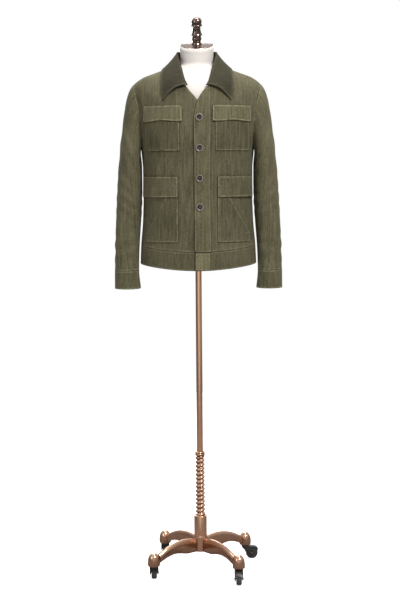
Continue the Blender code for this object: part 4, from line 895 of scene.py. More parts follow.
angles = -np.arange(SLEEVE_AROUND) * 2 * math.pi / SLEEVE_AROUND
angles = (angles + math.pi) % (2 * math.pi) - math.pi
shares = np.concatenate([np.linspace(0, 0.2, 26)[:-1], np.linspace(0.2, 1, 110)])
rings = sleeve_rings(shares, angles)
heights = (SHOULDER_Z + ARMPIT_Z) / 2 + (SHOULDER_Z - ARMPIT_Z) / 2 * np.cos(angles)
start = np.empty((SLEEVE_AROUND, 3))
for number, (angle, height) in enumerate(zip(angles, heights)):
    face = -1 if math.sin(angle) < 0 else 1
    at = float(armhole_sides(np.array([height]), face)[0])
    off = cloth_point(min(at + 0.03, 1.0), height, face) - cloth_point(at - 0.03, height, face)
    weight = abs(math.sin(angle))
    off = off / np.linalg.norm(off) * weight + np.array([1 - weight, 0, 0.35 * (1 - weight)])
    gap = ARMHOLE_STANDOFF + (BACK_STANDOFF - ARMHOLE_STANDOFF) * float(ease(0, 0.3, math.sin(angle)))
    gap += (ARMPIT_STANDOFF - gap) * float(ease(0.93, 1.0, -math.cos(angle)))
    start[number] = cloth_point(at, height, face) + off / np.linalg.norm(off) * gap
rings += (start - rings[0])[None] * (1 - ease(0, 0.2, shares))[:, None, None]
along = shares[:, None]
turn = angles[None, :]
front = np.exp(-(((turn + 0.9) / 0.35) ** 2))
roll = 1.8 * front * ease(0.12, 0.3, along) * (1 - ease(0.85, 1.0, along))
inside = np.clip(-np.cos(turn), 0, 1) * 0.5 + 0.5 * np.clip(-np.sin(turn), 0, 1)
roll = roll + 1.5 * np.cos((along - 0.56) * 75) * np.exp(-(((along - 0.56) / 0.10) ** 2)) * inside
# Finer folds: slanting drags below the sleeve's head, creases at the elbow and slack above the cuff.
drags = np.sin(along * 48 + turn * 2.6) * np.exp(-(((along - 0.30) / 0.15) ** 2)) * (0.45 + 0.55 * inside)
creases = np.sin(along * 88 + turn * 3.4 + 1.2) * np.exp(-(((along - 0.57) / 0.13) ** 2))
creases = creases * (0.35 + 0.65 * inside)
slack = np.sin(along * 75 - turn * 2.0) * np.exp(-(((along - 0.87) / 0.10) ** 2))
long_folds = np.sin(turn * 3 + 0.8 + along * 3.5) * ease(0.1, 0.35, along) * (1 - ease(0.9, 1, along))
clear_of_body = ease(-1.0, -0.55, np.cos(turn))
roll = roll + (2.0 * drags + 1.8 * creases + 1.3 * slack + 1.7 * long_folds) * clear_of_body
head = np.sin(turn * 22) * np.exp(-((along / 0.03) ** 2)) * ease(0.2, 0.9, np.cos(turn))
roll = roll + 0.35 * head * ease(0, 0.01, along)
roll = roll * (1 - ease(0.97, 1.0, along) * 0.85) * ease(0.0, 0.02, along)
plain = np.concatenate([rings, rings[:, :1]], axis=1)
sleeve_grain = (line_lengths(plain, 1), line_lengths(plain, 0))
rings = rings + ring_normals(rings) * roll[..., None] * MM
rings[-1, :, 2] += SEAM / 2
cuff_rings = sleeve_rings(np.linspace(1.0, 1.25, 16), angles)
cuff_top = SLEEVE[-2][2] * MM
cuff_rings[:, :, 2] = np.linspace(cuff_top - SEAM / 2, cuff_top - CUFF, 16)[:, None]
for word, sign in (("right", -1), ("left", 1)):
    mirror = np.array([sign, 1, 1])
    for kind, grid, flat, material, rests, grain in (
        ("sleeve", rings, False, sleeve_cord, f"front_{word}_cloth", sleeve_grain),
        ("cuff", cuff_rings, True, cuff_cord, f"sleeve_{word}_cloth", None),
    ):
        half = ring_normals(grid, flat) * CLOTH / 2
        inner, outer = (grid - half) * mirror, (grid + half) * mirror
        sew_wall(f"{kind}_{word}", inner, outer, material, "hung", [rests], grain, around=True)
    closed = [np.concatenate([layer, layer[:, :1]], axis=1) for layer in (inner, outer)]
    stitch_row(*closed, "low", 1.8 * MM)
    stitch_row(*closed, "high", 2.5 * MM)

# ---------------------------------------------------------------- collar
# A turn-down collar of the same cloth with its pile brushed the other way, so it looks darker. The stand
# rises from the neckline and the fall folds over it and lies on the shoulders.
COLLAR = (
    # along, fold_x, fold_y, fold_z, edge_x, edge_z
    (0.000, 0, 62, 1650, 0, 1586),
    (0.167, 26, 57, 1650, 38, 1586),
    (0.333, 48, 38, 1649.5, 72, 1588),
    (0.417, 56.5, 22, 1649, 90, 1590.5),
    (0.500, 61, 3, 1647, 104, 1592.3),
    (0.583, 60, -18, 1639, 108, 1580),
    (0.667, 56, -40, 1625, 110, 1564),
    (0.800, 46, -75, 1589, 110, 1535),
    (0.910, 37, -99, 1557, 107, 1509),
    (1.000, 29, -113, 1541, 102, 1493),
)
COLLAR_CLEAR = 3.2 * MM  # the fall keeps this far from the smooth torso
STAND_INSET, STAND_DROP, STAND_RISE = 2.6 * MM, 1.2 * MM, 3.5 * MM
collar_cord = needlecord("collar_cord", 0.33, 0.40, 0.8, 0.4, 0.04)
half = np.linspace(0, 1, 61)
fold = np.stack([smooth_table(COLLAR, column, half) * MM for column in (1, 2, 3)], axis=-1)
edge_x = smooth_table(COLLAR, 4, half) * MM
edge_z = smooth_table(COLLAR, 5, half) * MM
collar_edge = np.empty_like(fold)
for number, part in enumerate(half):
    face = 1 if part < 0.5 else -1
    at = float(side_of(edge_x[number], edge_z[number], face))
    clear = np.interp(part, [0, 0.35, 0.42, 0.55, 0.65, 1], [3.2, 3.6, 5, 5, 3.4, 3.2]) * MM
    collar_edge[number] = cloth_point(min(at, RIDGE), edge_z[number], face, clear)
blur = np.array([1, 2, 3, 2, 1]) / 9
for axis in range(3):
    padded = np.pad(collar_edge[:, axis], 2, mode="reflect", reflect_type="odd")
    collar_edge[:, axis] = np.convolve(padded, blur, mode="valid")
collar_edge[0, 0] = 0
down = np.linspace(0, 1, 22)
lift = np.interp(half, [0, 0.3, 0.45, 0.6, 0.8, 1], [5, 3, -3, -2, 3, 5]) * MM
fall = fold[None] * (1 - down)[:, None, None] + collar_edge[None] * down[:, None, None]
outward = (fold + collar_edge) / 2 * np.array([1, 1, 0])
outward /= np.linalg.norm(outward, axis=-1, keepdims=True)
outward[:, 2] = 0.75
outward /= np.linalg.norm(outward, axis=-1, keepdims=True)
fall = fall + (np.sin(down * math.pi) ** 0.8)[:, None, None] * lift[None, :, None] * outward[None]
fall[..., 2] += (10 * MM * np.sin(down * math.pi))[:, None] * ease(0.72, 1, half)[None, :]
for place_at in np.ndindex(fall.shape[:-1]):
    x, y, height = fall[place_at]
    if height > NECK_POINT_Z:
        continue
    face = -1 if y < 0 else 1
    reach_x = float(smooth_table(TORSO, 1, height / MM)) * MM
    depth = float(smooth_table(TORSO, 2 if face < 0 else 3, height / MM)) * MM
    square = float(smooth_table(TORSO, 4, height / MM))
    if abs(x) / reach_x < 0.97:
        surface = depth * (1 - (abs(x) / reach_x) ** square) ** (1 / square)
        if abs(y) < surface + COLLAR_CLEAR:
            fall[place_at][1] = face * (surface + COLLAR_CLEAR)
neck = front_neckline(31)
stand_low = np.empty_like(fold)
for number, part in enumerate(half):
    if part <= 0.5:
        height = BACK_NECK_Z + (NECK_POINT_Z - BACK_NECK_Z) * (part / 0.5) ** 2
        stand_low[number] = cloth_point(part / 0.5 * RIDGE, height, 1)
    else:
        row = (1 - part) / 0.5 * (len(neck) - 1)
        at = np.interp(row, range(len(neck)), neck[:, 0])
        stand_low[number] = cloth_point(at, np.interp(row, range(len(neck)), neck[:, 1]), -1)
stand_top = fold - outward * np.array([STAND_INSET, STAND_INSET, 0])
stand_top[:, 2] -= STAND_DROP
rise = stand_top - stand_low
stand_low += rise / np.linalg.norm(rise, axis=-1, keepdims=True) * STAND_RISE
up = np.linspace(0, 1, 9)
stand = stand_low[None] * (1 - up)[:, None, None] + stand_top[None] * up[:, None, None]
for node, sheet, rests in (
    ("collar_fall", fall, "back_cloth"),
    ("collar_stand", stand, "collar_fall_cloth"),
):
    whole = np.concatenate([sheet[:, :0:-1] * np.array([-1, 1, 1]), sheet], axis=1)
    normal = np.cross(np.gradient(whole, axis=1), np.gradient(whole, axis=0))
    normal /= np.linalg.norm(normal, axis=-1, keepdims=True) + 1e-12
    if np.sum(normal * (whole * np.array([1, 1, 0.0]) + np.array([0, 0, 0.05]))) < 0:
        normal = -normal
    layers = whole - normal * CLOTH / 2, whole + normal * CLOTH / 2
    sew_wall(node, *layers, collar_cord, "folded", [rests], slot_name="collar_cord")
    if node == "collar_fall":
        stitch_edges(layers, ["high", "near", "far"], (2, 3), (7.5, 8))

# ---------------------------------------------------------------- stitching
# Topstitching in olive thread, about three millimetres a stitch. One or two rows run beside the seams and
# edges that show them.
STITCH_PITCH = 3.1 * MM
STITCH_LENGTH = 2.3 * MM
THREAD_RADIUS = 0.32 * MM
THREAD_DARK = (0.06, 0.054, 0.03, 1)
THREAD_LIGHT = (0.22, 0.205, 0.135, 1)
thread, tree, shader = new_material("thread", Roughness=0.7)
place = add_node(tree, "ShaderNodeTexCoord").outputs["Object"]
twist = add_node(tree, "ShaderNodeTexNoise", {"Scale": 900, "Vector": place}).outputs["Fac"]
tree.links.new(mix_out(tree, twist, THREAD_DARK, THREAD_LIGHT), shader.inputs["Base Color"])

points, segments = [], []
for path in stitch_paths:
    segments += [(len(points) + step, len(points) + step + 1) for step in range(len(path) - 1)]
    points += [tuple(map(float, point)) for point in path]
rows_mesh = bpy.data.meshes.new("stitch_rows")
rows_mesh.from_pydata(points, segments, [])

sewing = bpy.data.node_groups.new("sewing", "GeometryNodeTree")
sewing.interface.new_socket("Geometry", in_out="INPUT", socket_type="NodeSocketGeometry")
for label, default in (("Pitch", STITCH_PITCH), ("Length", STITCH_LENGTH), ("Radius", THREAD_RADIUS)):
    socket = sewing.interface.new_socket(label, in_out="INPUT", socket_type="NodeSocketFloat")
    socket.default_value = default
sewing.interface.new_socket("Geometry", in_out="OUTPUT", socket_type="NodeSocketGeometry")
take = add_node(sewing, "NodeGroupInput").outputs
lines = add_node(sewing, "GeometryNodeMeshToCurve", {"Mesh": take["Geometry"]}).outputs["Curve"]
sockets = {"Curve": lines, "Length": take["Pitch"]}
dots = add_node(sewing, "GeometryNodeCurveToPoints", sockets, mode="LENGTH").outputs
bead = add_node(sewing, "GeometryNodeMeshUVSphere", {"Segments": 6, "Rings": 4, "Radius": 1.0})
half_length = math_out(sewing, "MULTIPLY", take["Length"], 0.5)
sockets = {"X": take["Radius"], "Y": take["Radius"], "Z": half_length}
stitch_size = add_node(sewing, "ShaderNodeCombineXYZ", sockets).outputs["Vector"]
facing = add_node(sewing, "FunctionNodeAlignRotationToVector", {"Vector": dots["Tangent"]}, axis="Z")
sockets = {
    "Points": dots["Points"],
    "Instance": bead.outputs["Mesh"],
    "Rotation": facing.outputs["Rotation"],
    "Scale": stitch_size,
}
sewn = add_node(sewing, "GeometryNodeInstanceOnPoints", sockets).outputs["Instances"]
real = add_node(sewing, "GeometryNodeRealizeInstances", {"Geometry": sewn}).outputs["Geometry"]
dyed = add_node(sewing, "GeometryNodeSetMaterial", {"Geometry": real, "Material": thread}).outputs["Geometry"]
add_node(sewing, "NodeGroupOutput", {"Geometry": dyed})
stitch_mesh = modified(rows_mesh, "NODES", node_group=sewing)
stitch_mesh.shade_smooth()
stitching = link_object("stitching", stitch_mesh)
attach(stitching, "upper")

# ---------------------------------------------------------------- buttons and buttonholes
# Four dark horn buttons with a raised rim whose top is painted lighter as a highlight, each with two bars of
# sewing thread on it, above the thread-bound end of its buttonhole. A short tack of thread guards the lower
# end of each hip pocket's hand opening.
BUTTON_X = 6 * MM
BUTTON_HEIGHTS = (1170 * MM, 1258 * MM, 1350 * MM, 1441 * MM)
BUTTON_RADIUS = 11.5 * MM
BUTTON_GAP = 0.5 * MM
HOLE_SHIFT, HOLE_HALF, HOLE_RISE, HOLE_LIFT = 5 * MM, 12 * MM, 1.5 * MM, 0.15 * MM
HOLE_STEPS = 40
BAR_RADIUS, HOLE_THREAD, TACK_RADIUS = 0.55 * MM, 0.5 * MM, 0.7 * MM
TACK_STEPS = 8
HORN_DARK = (0.006, 0.005, 0.004, 1)
HORN_LIGHT = (0.07, 0.055, 0.038, 1)
HORN_RIM_HIGHLIGHT = (0.15, 0.14, 0.115, 1)
horn, tree, shader = new_material("horn", Roughness=0.13, Specular_IOR_Level=0.3)
place = add_node(tree, "ShaderNodeTexCoord").outputs["Object"]
sockets = {"Scale": 70, "Detail": 5, "Distortion": 1.6, "Vector": place}
swirl = add_node(tree, "ShaderNodeTexNoise", sockets).outputs["Fac"]
streaks = add_node(tree, "ShaderNodeValToRGB", {"Fac": swirl})
for stop, at, tone in zip(streaks.color_ramp.elements, (0.40, 0.75), (HORN_DARK, HORN_LIGHT)):
    stop.position = at
    stop.color = tone
# Painted highlight: a lighter colour on the top of each button's rim.
rim_highlight_mask = add_node(tree, "ShaderNodeAttribute", attribute_name="rim").outputs["Fac"]
tree.links.new(mix_out(tree, rim_highlight_mask, streaks.outputs["Color"], HORN_RIM_HIGHLIGHT), shader.inputs["Base Color"])


def turned_mesh(profile, steps, axes=None, origin=(0, 0, 0)):
    """Points and faces of a solid of revolution from (radius, height) points along the frame's third axis."""
    points, rings_of = [], []
    for radius, height in profile:
        if radius < 1e-9:
            rings_of.append([len(points)])
            points.append((0.0, 0.0, height))
            continue
        rings_of.append(list(range(len(points), len(points) + steps)))
        for step in range(steps):
            angle = 2 * math.pi * step / steps
            points.append((radius * math.cos(angle), radius * math.sin(angle), height))
    faces = []
    pairs = list(zip(rings_of, rings_of[1:]))
    if len(rings_of[0]) > 1:
        pairs.append((rings_of[-1], rings_of[0]))
    for low, high in pairs:
        for step in range(steps):
            after = (step + 1) % steps
            if len(low) == 1:
                faces.append([low[0], high[after], high[step]])
            elif len(high) == 1:
                faces.append([low[step], low[after], high[0]])
            else:
                faces.append([low[step], low[after], high[after], high[step]])
    placed = np.array(points)
    if axes is not None:
        placed = placed @ np.array(axes)
    return placed + np.array(origin), faces


def axes_along(normal):
    """Three axes whose third runs along normal."""
    third = np.array(normal, float) / np.linalg.norm(normal)
    first = np.cross([0, 0, 1.0], third)
    first = first / np.linalg.norm(first) if np.linalg.norm(first) > 1e-6 else np.array([1.0, 0, 0])
    return np.array([first, np.cross(third, first), third])


def tube_mesh(path, radius, closed, sides=8):
    """Points and faces of a thread tube along a path."""
    path = np.array(path, float)
    count = len(path)
    points, faces = [], []
    for number in range(count):
        ahead = path[(number + 1) % count] if closed or number < count - 1 else path[number]
        behind = path[number - 1] if closed or number > 0 else path[number]
        axes = axes_along(ahead - behind)
        for step in range(sides):
            angle = 2 * math.pi * step / sides
            points.append(path[number] + radius * (axes[0] * math.cos(angle) + axes[1] * math.sin(angle)))
    for number in range(count if closed else count - 1):
        after = (number + 1) % count
        for step in range(sides):
            turn_on = (step + 1) % sides
            here, there = number * sides, after * sides
            faces.append([here + step, here + turn_on, there + turn_on, there + step])
    if not closed:
        faces.append(list(range(sides))[::-1])
        faces.append([(count - 1) * sides + step for step in range(sides)])
    return np.array(points), faces


def gather(parts):
    """One set of points and faces from several."""
    points, faces, start_at = [], [], 0
    for part_points, part_faces in parts:
        points.append(part_points)
        faces += [[start_at + corner for corner in face] for face in part_faces]
        start_at += len(part_points)
    return np.concatenate(points), faces


BUTTON_PROFILE = (
    # radius share, height in mm
    (0.0, 0.0),
    (0.72, 0.0),
    (0.90, 0.5),
    (0.97, 1.2),
    (1.0, 2.0),
    (0.985, 2.7),
    (0.94, 3.15),
    (0.87, 3.35),
    (0.80, 3.3),
    (0.73, 2.95),
    (0.66, 2.4),
    (0.58, 2.15),
    (0.0, 2.05),
)
THREAD_BAR = ((-2.3, 1.9), (-1.6, 2.75), (1.6, 2.75), (2.3, 1.9))  # (along, up) in mm on the button
threads = []
for number, height in enumerate(BUTTON_HEIGHTS, 1):
    at = float(side_of(BUTTON_X, height))
    layers = 2 * LAYER + CLOTH / 2
    seat = cloth_point(at, height, -1, layers + BUTTON_GAP)
    axes = axes_along(cloth_point(at, height, -1, layers + 10 * MM) - seat)
    profile = [(part * BUTTON_RADIUS, up_mm * MM) for part, up_mm in BUTTON_PROFILE]
    points, faces = turned_mesh(profile, 48, axes, seat)
    button = show(f"horn_button_{number}", points, faces, horn, "upper", f"button_{number}", "horn", 70)
    raised = (np.array(points) - seat) @ axes.T
    # Painted highlight: where the rim's top gets the lighter colour; the horn is polished, the lighter tone
    # is painted.
    polished = ease(7.2 * MM, 8.6 * MM, np.hypot(raised[:, 0], raised[:, 1]))
    polished = polished * ease(2.0 * MM, 2.8 * MM, raised[:, 2])
    rim_highlight_store = button.data.attributes.new("rim", "FLOAT", "POINT")
    rim_highlight_store.data.foreach_set("value", polished.astype(np.float32))
    for side_sign in (-1, 1):
        ends = [np.array([side_sign * 1.7 * MM, y * MM, up_by * MM]) for y, up_by in THREAD_BAR]
        threads.append(tube_mesh([end @ axes + seat for end in ends], BAR_RADIUS, False))
    outline = []
    for step in range(HOLE_STEPS):
        angle = 2 * math.pi * step / HOLE_STEPS
        reach = HOLE_HALF * math.copysign(abs(math.cos(angle)) ** 0.55, math.cos(angle))
        x = BUTTON_X + HOLE_SHIFT + reach
        up_by = HOLE_RISE * math.sin(angle)
        at = float(side_of(x, height + up_by))
        top = LAYER + float(over_lift(at, height + up_by)) + CLOTH / 2 + HOLE_LIFT
        outline.append(cloth_point(at, height + up_by, -1, top))
    threads.append(tube_mesh(outline, HOLE_THREAD, True))
for word, (far_end, near_end) in zip(("right", "left"), tack_places):
    push = np.array([0, -0.5 * MM, 0])
    line = [
        far_end * (1 - step / TACK_STEPS) + near_end * step / TACK_STEPS + push
        for step in range(TACK_STEPS + 1)
    ]
    threads.append(tube_mesh(line, TACK_RADIUS, False))
show("button_thread", *gather(threads), thread, "upper", None, "needlecord", 60)

# ---------------------------------------------------------------- dress form
# The limbless form that carries the jacket: a smooth moulded shell under a tight cream cotton cover, with a
# round neck that is cut off on a slope.
COVER_DARK = (0.52, 0.48, 0.445, 1)
COVER_LIGHT = (0.585, 0.55, 0.515, 1)
cover, tree, shader = new_material("cream_cover", Roughness=0.82, Sheen_Weight=0.05)
place = add_node(tree, "ShaderNodeTexCoord").outputs["Object"]
weave = []
for direction in ("X", "Z"):
    sockets = {"Scale": 520, "Distortion": 1.5, "Vector": place}
    weave.append(add_node(tree, "ShaderNodeTexWave", sockets, bands_direction=direction).outputs["Fac"])
mottle = add_node(tree, "ShaderNodeTexNoise", {"Scale": 14, "Vector": place}).outputs["Fac"]
tree.links.new(mix_out(tree, mottle, COVER_DARK, COVER_LIGHT), shader.inputs["Base Color"])
add_bump(tree, shader, math_out(tree, "MULTIPLY", *weave), 0.2, 0.2 * MM)


def softened_copy(node, name, material, body, levels):
    """A CAD node's mesh made smooth: merged, in four-sided faces, subdivided, its flat ends kept sharp."""
    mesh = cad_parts[node].data.copy()
    work = bmesh.new()
    work.from_mesh(mesh)
    bmesh.ops.remove_doubles(work, verts=work.verts, dist=0.02 * MM)
    borders = ("seam", "sharp", "uvs", "vcols", "materials")
    ignored = {f"cmp_{kind}": False for kind in borders}
    bmesh.ops.join_triangles(
        work, faces=work.faces, angle_face_threshold=0.6, angle_shape_threshold=3.1, **ignored
    )
    crease = work.edges.layers.float.get("crease_edge") or work.edges.layers.float.new("crease_edge")
    for each in work.edges:
        if len(each.link_faces) == 2 and each.calc_face_angle(0) > math.radians(50):
            each[crease] = 1.0
    work.to_mesh(mesh)
    work.free()
    smooth = modified(mesh, "SUBSURF", levels=levels, render_levels=levels)
    while smooth.uv_layers:
        smooth.uv_layers.remove(smooth.uv_layers[0])
    return fit_piece(name, smooth, material, body, [node], 50)


CAP_TILT = math.radians(21)
NECK_TOP = 1664 * MM
NECK_RADIUS = 49 * MM
NECK_PADDING = 3.4 * MM
COVER_LIP = 5 * MM  # the cover stands up round the cap's edge by this much
# Distances from the cap's plane: the padding starts to grow, is full, and the lip is all above the last one.
PAD_FROM, PAD_FULL, LIP_FROM = -55 * MM, -22 * MM, -2.5 * MM
form_cover = softened_copy("form_torso", "form_cover", cover, "upper", 2)
cap_normal = np.array([0, -math.sin(CAP_TILT), math.cos(CAP_TILT)])
for each in form_cover.data.vertices:
    spot = np.array(each.co)
    below = float((spot - [0, 0, NECK_TOP]) @ cap_normal)
    from_axis = math.hypot(spot[0], spot[1])
    if below < PAD_FROM or not 0.9 <= from_axis / NECK_RADIUS <= 1.4:
        continue
    spot[:2] *= 1 + NECK_PADDING / from_axis * float(ease(PAD_FROM, PAD_FULL, below))
    if below > LIP_FROM:
        spot += cap_normal * COVER_LIP
    each.co = spot

# ---------------------------------------------------------------- neck cap and finial
# A polished rose-copper cap closes the sloping neck. The dark bronze finial is turned from one rod and stands
# on the middle of the cap, square to it.
CAP_THICKNESS = 7 * MM
FINIAL = (
    # height, radius
    (0, 16.4),
    (2.5, 15.9),
    (6, 13.4),
    (9, 12.9),
    (13, 14.2),
    (17, 15.2),
    (27, 14.6),
    (30, 17.2),
    (32, 17.2),
    (35, 15.2),
    (41, 13.4),
    (50, 12.4),
    (56, 13.2),
    (58, 17),
    (61, 17),
    (63.5, 15.6),
    (69, 16.6),
    (75, 15.6),
    (81, 11.6),
    (84.5, 6),
    (85.7, 0),
)


def make_patina():
    """Small uneven marks of a handled, plated metal: a mask for its colour and roughness and a height."""
    group = bpy.data.node_groups.new("patina", "ShaderNodeTree")
    group.interface.new_socket("Scale", in_out="INPUT", socket_type="NodeSocketFloat").default_value = 1.0
    for label in ("Mask", "Height"):
        group.interface.new_socket(label, in_out="OUTPUT", socket_type="NodeSocketFloat")
    size = add_node(group, "NodeGroupInput").outputs["Scale"]
    place = add_node(group, "ShaderNodeTexCoord").outputs["Object"]
    sockets = {0: place, "Scale": size}
    place = add_node(group, "ShaderNodeVectorMath", sockets, operation="SCALE").outputs["Vector"]
    cloudy = add_node(group, "ShaderNodeTexNoise", {"Scale": 22, "Detail": 6, "Vector": place}).outputs["Fac"]
    fine = add_node(group, "ShaderNodeTexNoise", {"Scale": 420, "Detail": 3, "Vector": place}).outputs["Fac"]
    mask = math_out(group, "MULTIPLY_ADD", fine, 0.35, cloudy)
    add_node(group, "NodeGroupOutput", {"Mask": mask, "Height": fine})
    return group


PATINA = make_patina()


def plated(name, bright, dull, smooth, rough, metallic=1.0, coat=0.0, bump_strength=0.05):
    """A polished plated metal, or a hard plastic, whose marks change its colour and gloss a little."""
    material, tree, shader = new_material(name, Metallic=metallic, Coat_Weight=coat, Coat_Roughness=0.08)
    marks = add_node(tree, "ShaderNodeGroup", node_tree=PATINA).outputs
    tree.links.new(mix_out(tree, marks["Mask"], bright, dull), shader.inputs["Base Color"])
    sockets = {"Value": marks["Mask"], "From Min": 0.35, "From Max": 0.95, "To Min": smooth, "To Max": rough}
    gloss = add_node(tree, "ShaderNodeMapRange", sockets).outputs["Result"]
    tree.links.new(gloss, shader.inputs["Roughness"])
    add_bump(tree, shader, marks["Height"], bump_strength, 0.2 * MM)
    return material


cap_copper = plated("cap_copper", (0.44, 0.35, 0.30, 1), (0.29, 0.22, 0.18, 1), 0.12, 0.22)
bronze = plated("bronze", (0.24, 0.16, 0.125, 1), (0.07, 0.045, 0.036, 1), 0.08, 0.16, coat=1.0)
copper = plated("copper", (0.72, 0.46, 0.32, 1), (0.46, 0.265, 0.175, 1), 0.10, 0.24)
# Painted light: the hub and the pole tube are brighter copies of the legs' copper, for the light they
# reflect.
painted_lit_hub_copper = plated("painted_lit_hub_copper", (0.86, 0.53, 0.355, 1), (0.66, 0.39, 0.26, 1), 0.10, 0.24)
painted_lit_tube_copper = plated("painted_lit_tube_copper", (1.0, 0.63, 0.41, 1), (0.90, 0.54, 0.34, 1), 0.10, 0.22)


def smooth_profile(table, samples):
    """A rounded outline through (height, radius) rows in mm, as (radius, height) in metres."""
    even = np.linspace(table[0][0], table[-1][0], samples)
    heights = np.unique(np.concatenate([even, [row[0] for row in table]]))
    radii = np.clip(smooth_table(table, 1, heights), 0, None)
    return [(radius * MM, height * MM) for radius, height in zip(radii, heights)]


cap_seat = np.array([0, 0, NECK_TOP]) + cap_normal * 0.4 * MM
cap_radius = NECK_RADIUS + 1.8 * MM
CAP_PROFILE = (
    # inset from the rim, height in mm
    (51.0, 0),
    (1.5, 0),
    (0.5, 0.4),
    (0.0, 1.2),
    (0.0, 5.8),
    (0.4, 6.6),
    (1.2, 7.0),
    (51.0, 7.0),
)
profile = [(cap_radius - inset * MM, height * MM) for inset, height in CAP_PROFILE]
points, faces = turned_mesh(profile, 96, axes_along(cap_normal), cap_seat)
show("neck_cap_metal", points, faces, cap_copper, "upper", "neck_cap", "copper", 50)
finial_outline = [(0, 0)] + smooth_profile(FINIAL, 110)
finial_outline[-1] = (0.0, finial_outline[-1][1])
finial_seat = cap_seat + cap_normal * (CAP_THICKNESS + 0.3 * MM)
points, faces = turned_mesh(finial_outline, 64, axes_along(cap_normal), finial_seat)
show("finial_metal", points, faces, bronze, "upper", "finial", "copper", 60)

# ---------------------------------------------------------------- pole, screw, stop ring and socket
# A drawn copper-plated tube carries the form's socket. Its lower length is a coarse cut thread that turns in
# the hub, so the form rises and sinks. A double ring sits on the thread's upper end.
FORM_BOTTOM = 1013 * MM
POLE_RADIUS = 10 * MM
THREAD_TOP = 374 * MM
THREAD_BOTTOM = 136 * MM
THREAD_PITCH = 13.4 * MM
THREAD_SQUEEZE = 0.04  # the turns past either end are pressed flat to this share
THREAD_PROFILE = (
    # share of the pitch, radius
    (0.0, 10.0),
    (0.05, 10.35),
    (0.33, 14.3),
    (0.40, 15.0),
    (0.62, 15.0),
    (0.69, 14.3),
    (0.95, 10.35),
)
ring_top = THREAD_TOP + 12 * MM
socket_foot = FORM_BOTTOM - 12.3 * MM
profile = (
    (0, ring_top + SEAM),
    (POLE_RADIUS, ring_top + SEAM),
    (POLE_RADIUS, socket_foot - SEAM),
    (0, socket_foot - SEAM),
)
show("pole_tube", *turned_mesh(profile, 64), painted_lit_tube_copper, "upper", "pole", "copper", 40)
profile = (
    (0, socket_foot),
    (18.6 * MM, socket_foot),
    (19.6 * MM, socket_foot + 1.2 * MM),
    (20 * MM, socket_foot + 4.3 * MM),
    (24 * MM, socket_foot + 6.2 * MM),
    (34 * MM, socket_foot + 7.3 * MM),
    (35 * MM, socket_foot + 8.2 * MM),
    (35 * MM, FORM_BOTTOM - SEAM),
    (0, FORM_BOTTOM - SEAM),
)
show("form_socket_metal", *turned_mesh(profile, 64), copper, "upper", "form_socket", "copper", 50)
RING = (
    # radius, height
    (15, 0.3),
    (15.8, 0.8),
    (16, 2.6),
    (15.6, 4.4),
    (14.2, 5.3),
    (13.2, 5.7),
    (14.6, 6.4),
    (15.5, 7.6),
    (15.5, 9.6),
    (14.6, 11.2),
    (13, 12),
)
profile = [(radius * MM, THREAD_TOP + height * MM) for radius, height in RING]
profile = [(0, THREAD_TOP + SEAM)] + profile + [(0, ring_top)]
show("stop_ring_metal", *turned_mesh(profile, 64), copper, "lift_collar", "stop_ring", "copper", 60)

steps = 36
rows = len(THREAD_PROFILE)
end_turn = THREAD_SQUEEZE * THREAD_PITCH
count = int((THREAD_TOP - THREAD_BOTTOM - 2 * end_turn) / THREAD_PITCH * steps) + 2 * steps
top = (count / steps - 2) * THREAD_PITCH
points = []
for step in range(count + 1):
    for row_share, radius in THREAD_PROFILE:
        height = -THREAD_PITCH + (step / steps + row_share) * THREAD_PITCH
        height = height * THREAD_SQUEEZE if height < 0 else height
        height = top + (height - top) * THREAD_SQUEEZE if height > top else height
        height += THREAD_BOTTOM + end_turn
        angle = 2 * math.pi * step / steps
        points.append((radius * MM * math.cos(angle), radius * MM * math.sin(angle), height))


def thread_corner(step, row):
    """The thread's own numbering: past a turn's last row comes the first row one turn on."""
    return step * rows + row if row < rows else (step + steps) * rows


last = count - steps
faces = []
for step in range(last):
    for row in range(rows):
        quad = ((step, row), (step + 1, row), (step + 1, row + 1), (step, row + 1))
        faces.append([thread_corner(*at) for at in quad])
low_loop = [thread_corner(step, 0) for step in range(steps)]
low_loop += [thread_corner(0, row) for row in range(rows, 0, -1)]
high_loop = [thread_corner(step, 0) for step in range(last + steps, last, -1)]
high_loop += [thread_corner(last, row) for row in range(rows)]
high_z = max(points[corner][2] for corner in high_loop)
for loop, centre_z in ((low_loop, THREAD_BOTTOM), (high_loop, high_z)):
    points.append((0, 0, centre_z))
    for here, after in zip(loop, loop[1:] + loop[:1]):
        faces.append([len(points) - 1, after, here])
used = sorted({corner for face in faces for corner in face})
renumber = {corner: number for number, corner in enumerate(used)}
faces = [[renumber[corner] for corner in face] for face in faces]
show("screw_metal", [points[corner] for corner in used], faces, copper, "upper", "screw", "copper", 50)

# ---------------------------------------------------------------- hub, legs and bells
# A tall cast nut holds the screw. Four cast legs stand round its foot and arch out to bell-shaped ends, all
# polished and copper plated.
HUB_TOP = 178 * MM
LEG_FOOT = 62 * MM
BORE = 15.6 * MM
LEG_TURN = math.radians(-51.2)
LEG_REACH = 188.8 * MM
BELL_RADIUS = 19 * MM
BELL_BOTTOM = 47 * MM
BELL_TOP = 88 * MM
LEG = (
    # r, bottom, top, width
    (22.4, 62, 104, 15),
    (40, 62, 108, 15),
    (62, 63, 110, 16),
    (84, 68, 109, 17),
    (108, 71, 105, 18),
    (132, 68, 98, 18),
    (152, 61, 89, 18),
    (169.2, 54, 80, 17),
)
HUB = ((22, 62), (22, 106), (21.8, 109), (20.9, 112), (20.5, 115), (20.5, 176.6), (20.2, 177.5), (19.4, 178))
profile = [(BORE, LEG_FOOT)] + [(radius * MM, height * MM) for radius, height in HUB] + [(BORE, HUB_TOP)]
show("hub_metal", *turned_mesh(profile, 64), painted_lit_hub_copper, "base", "hub", "copper", 50)
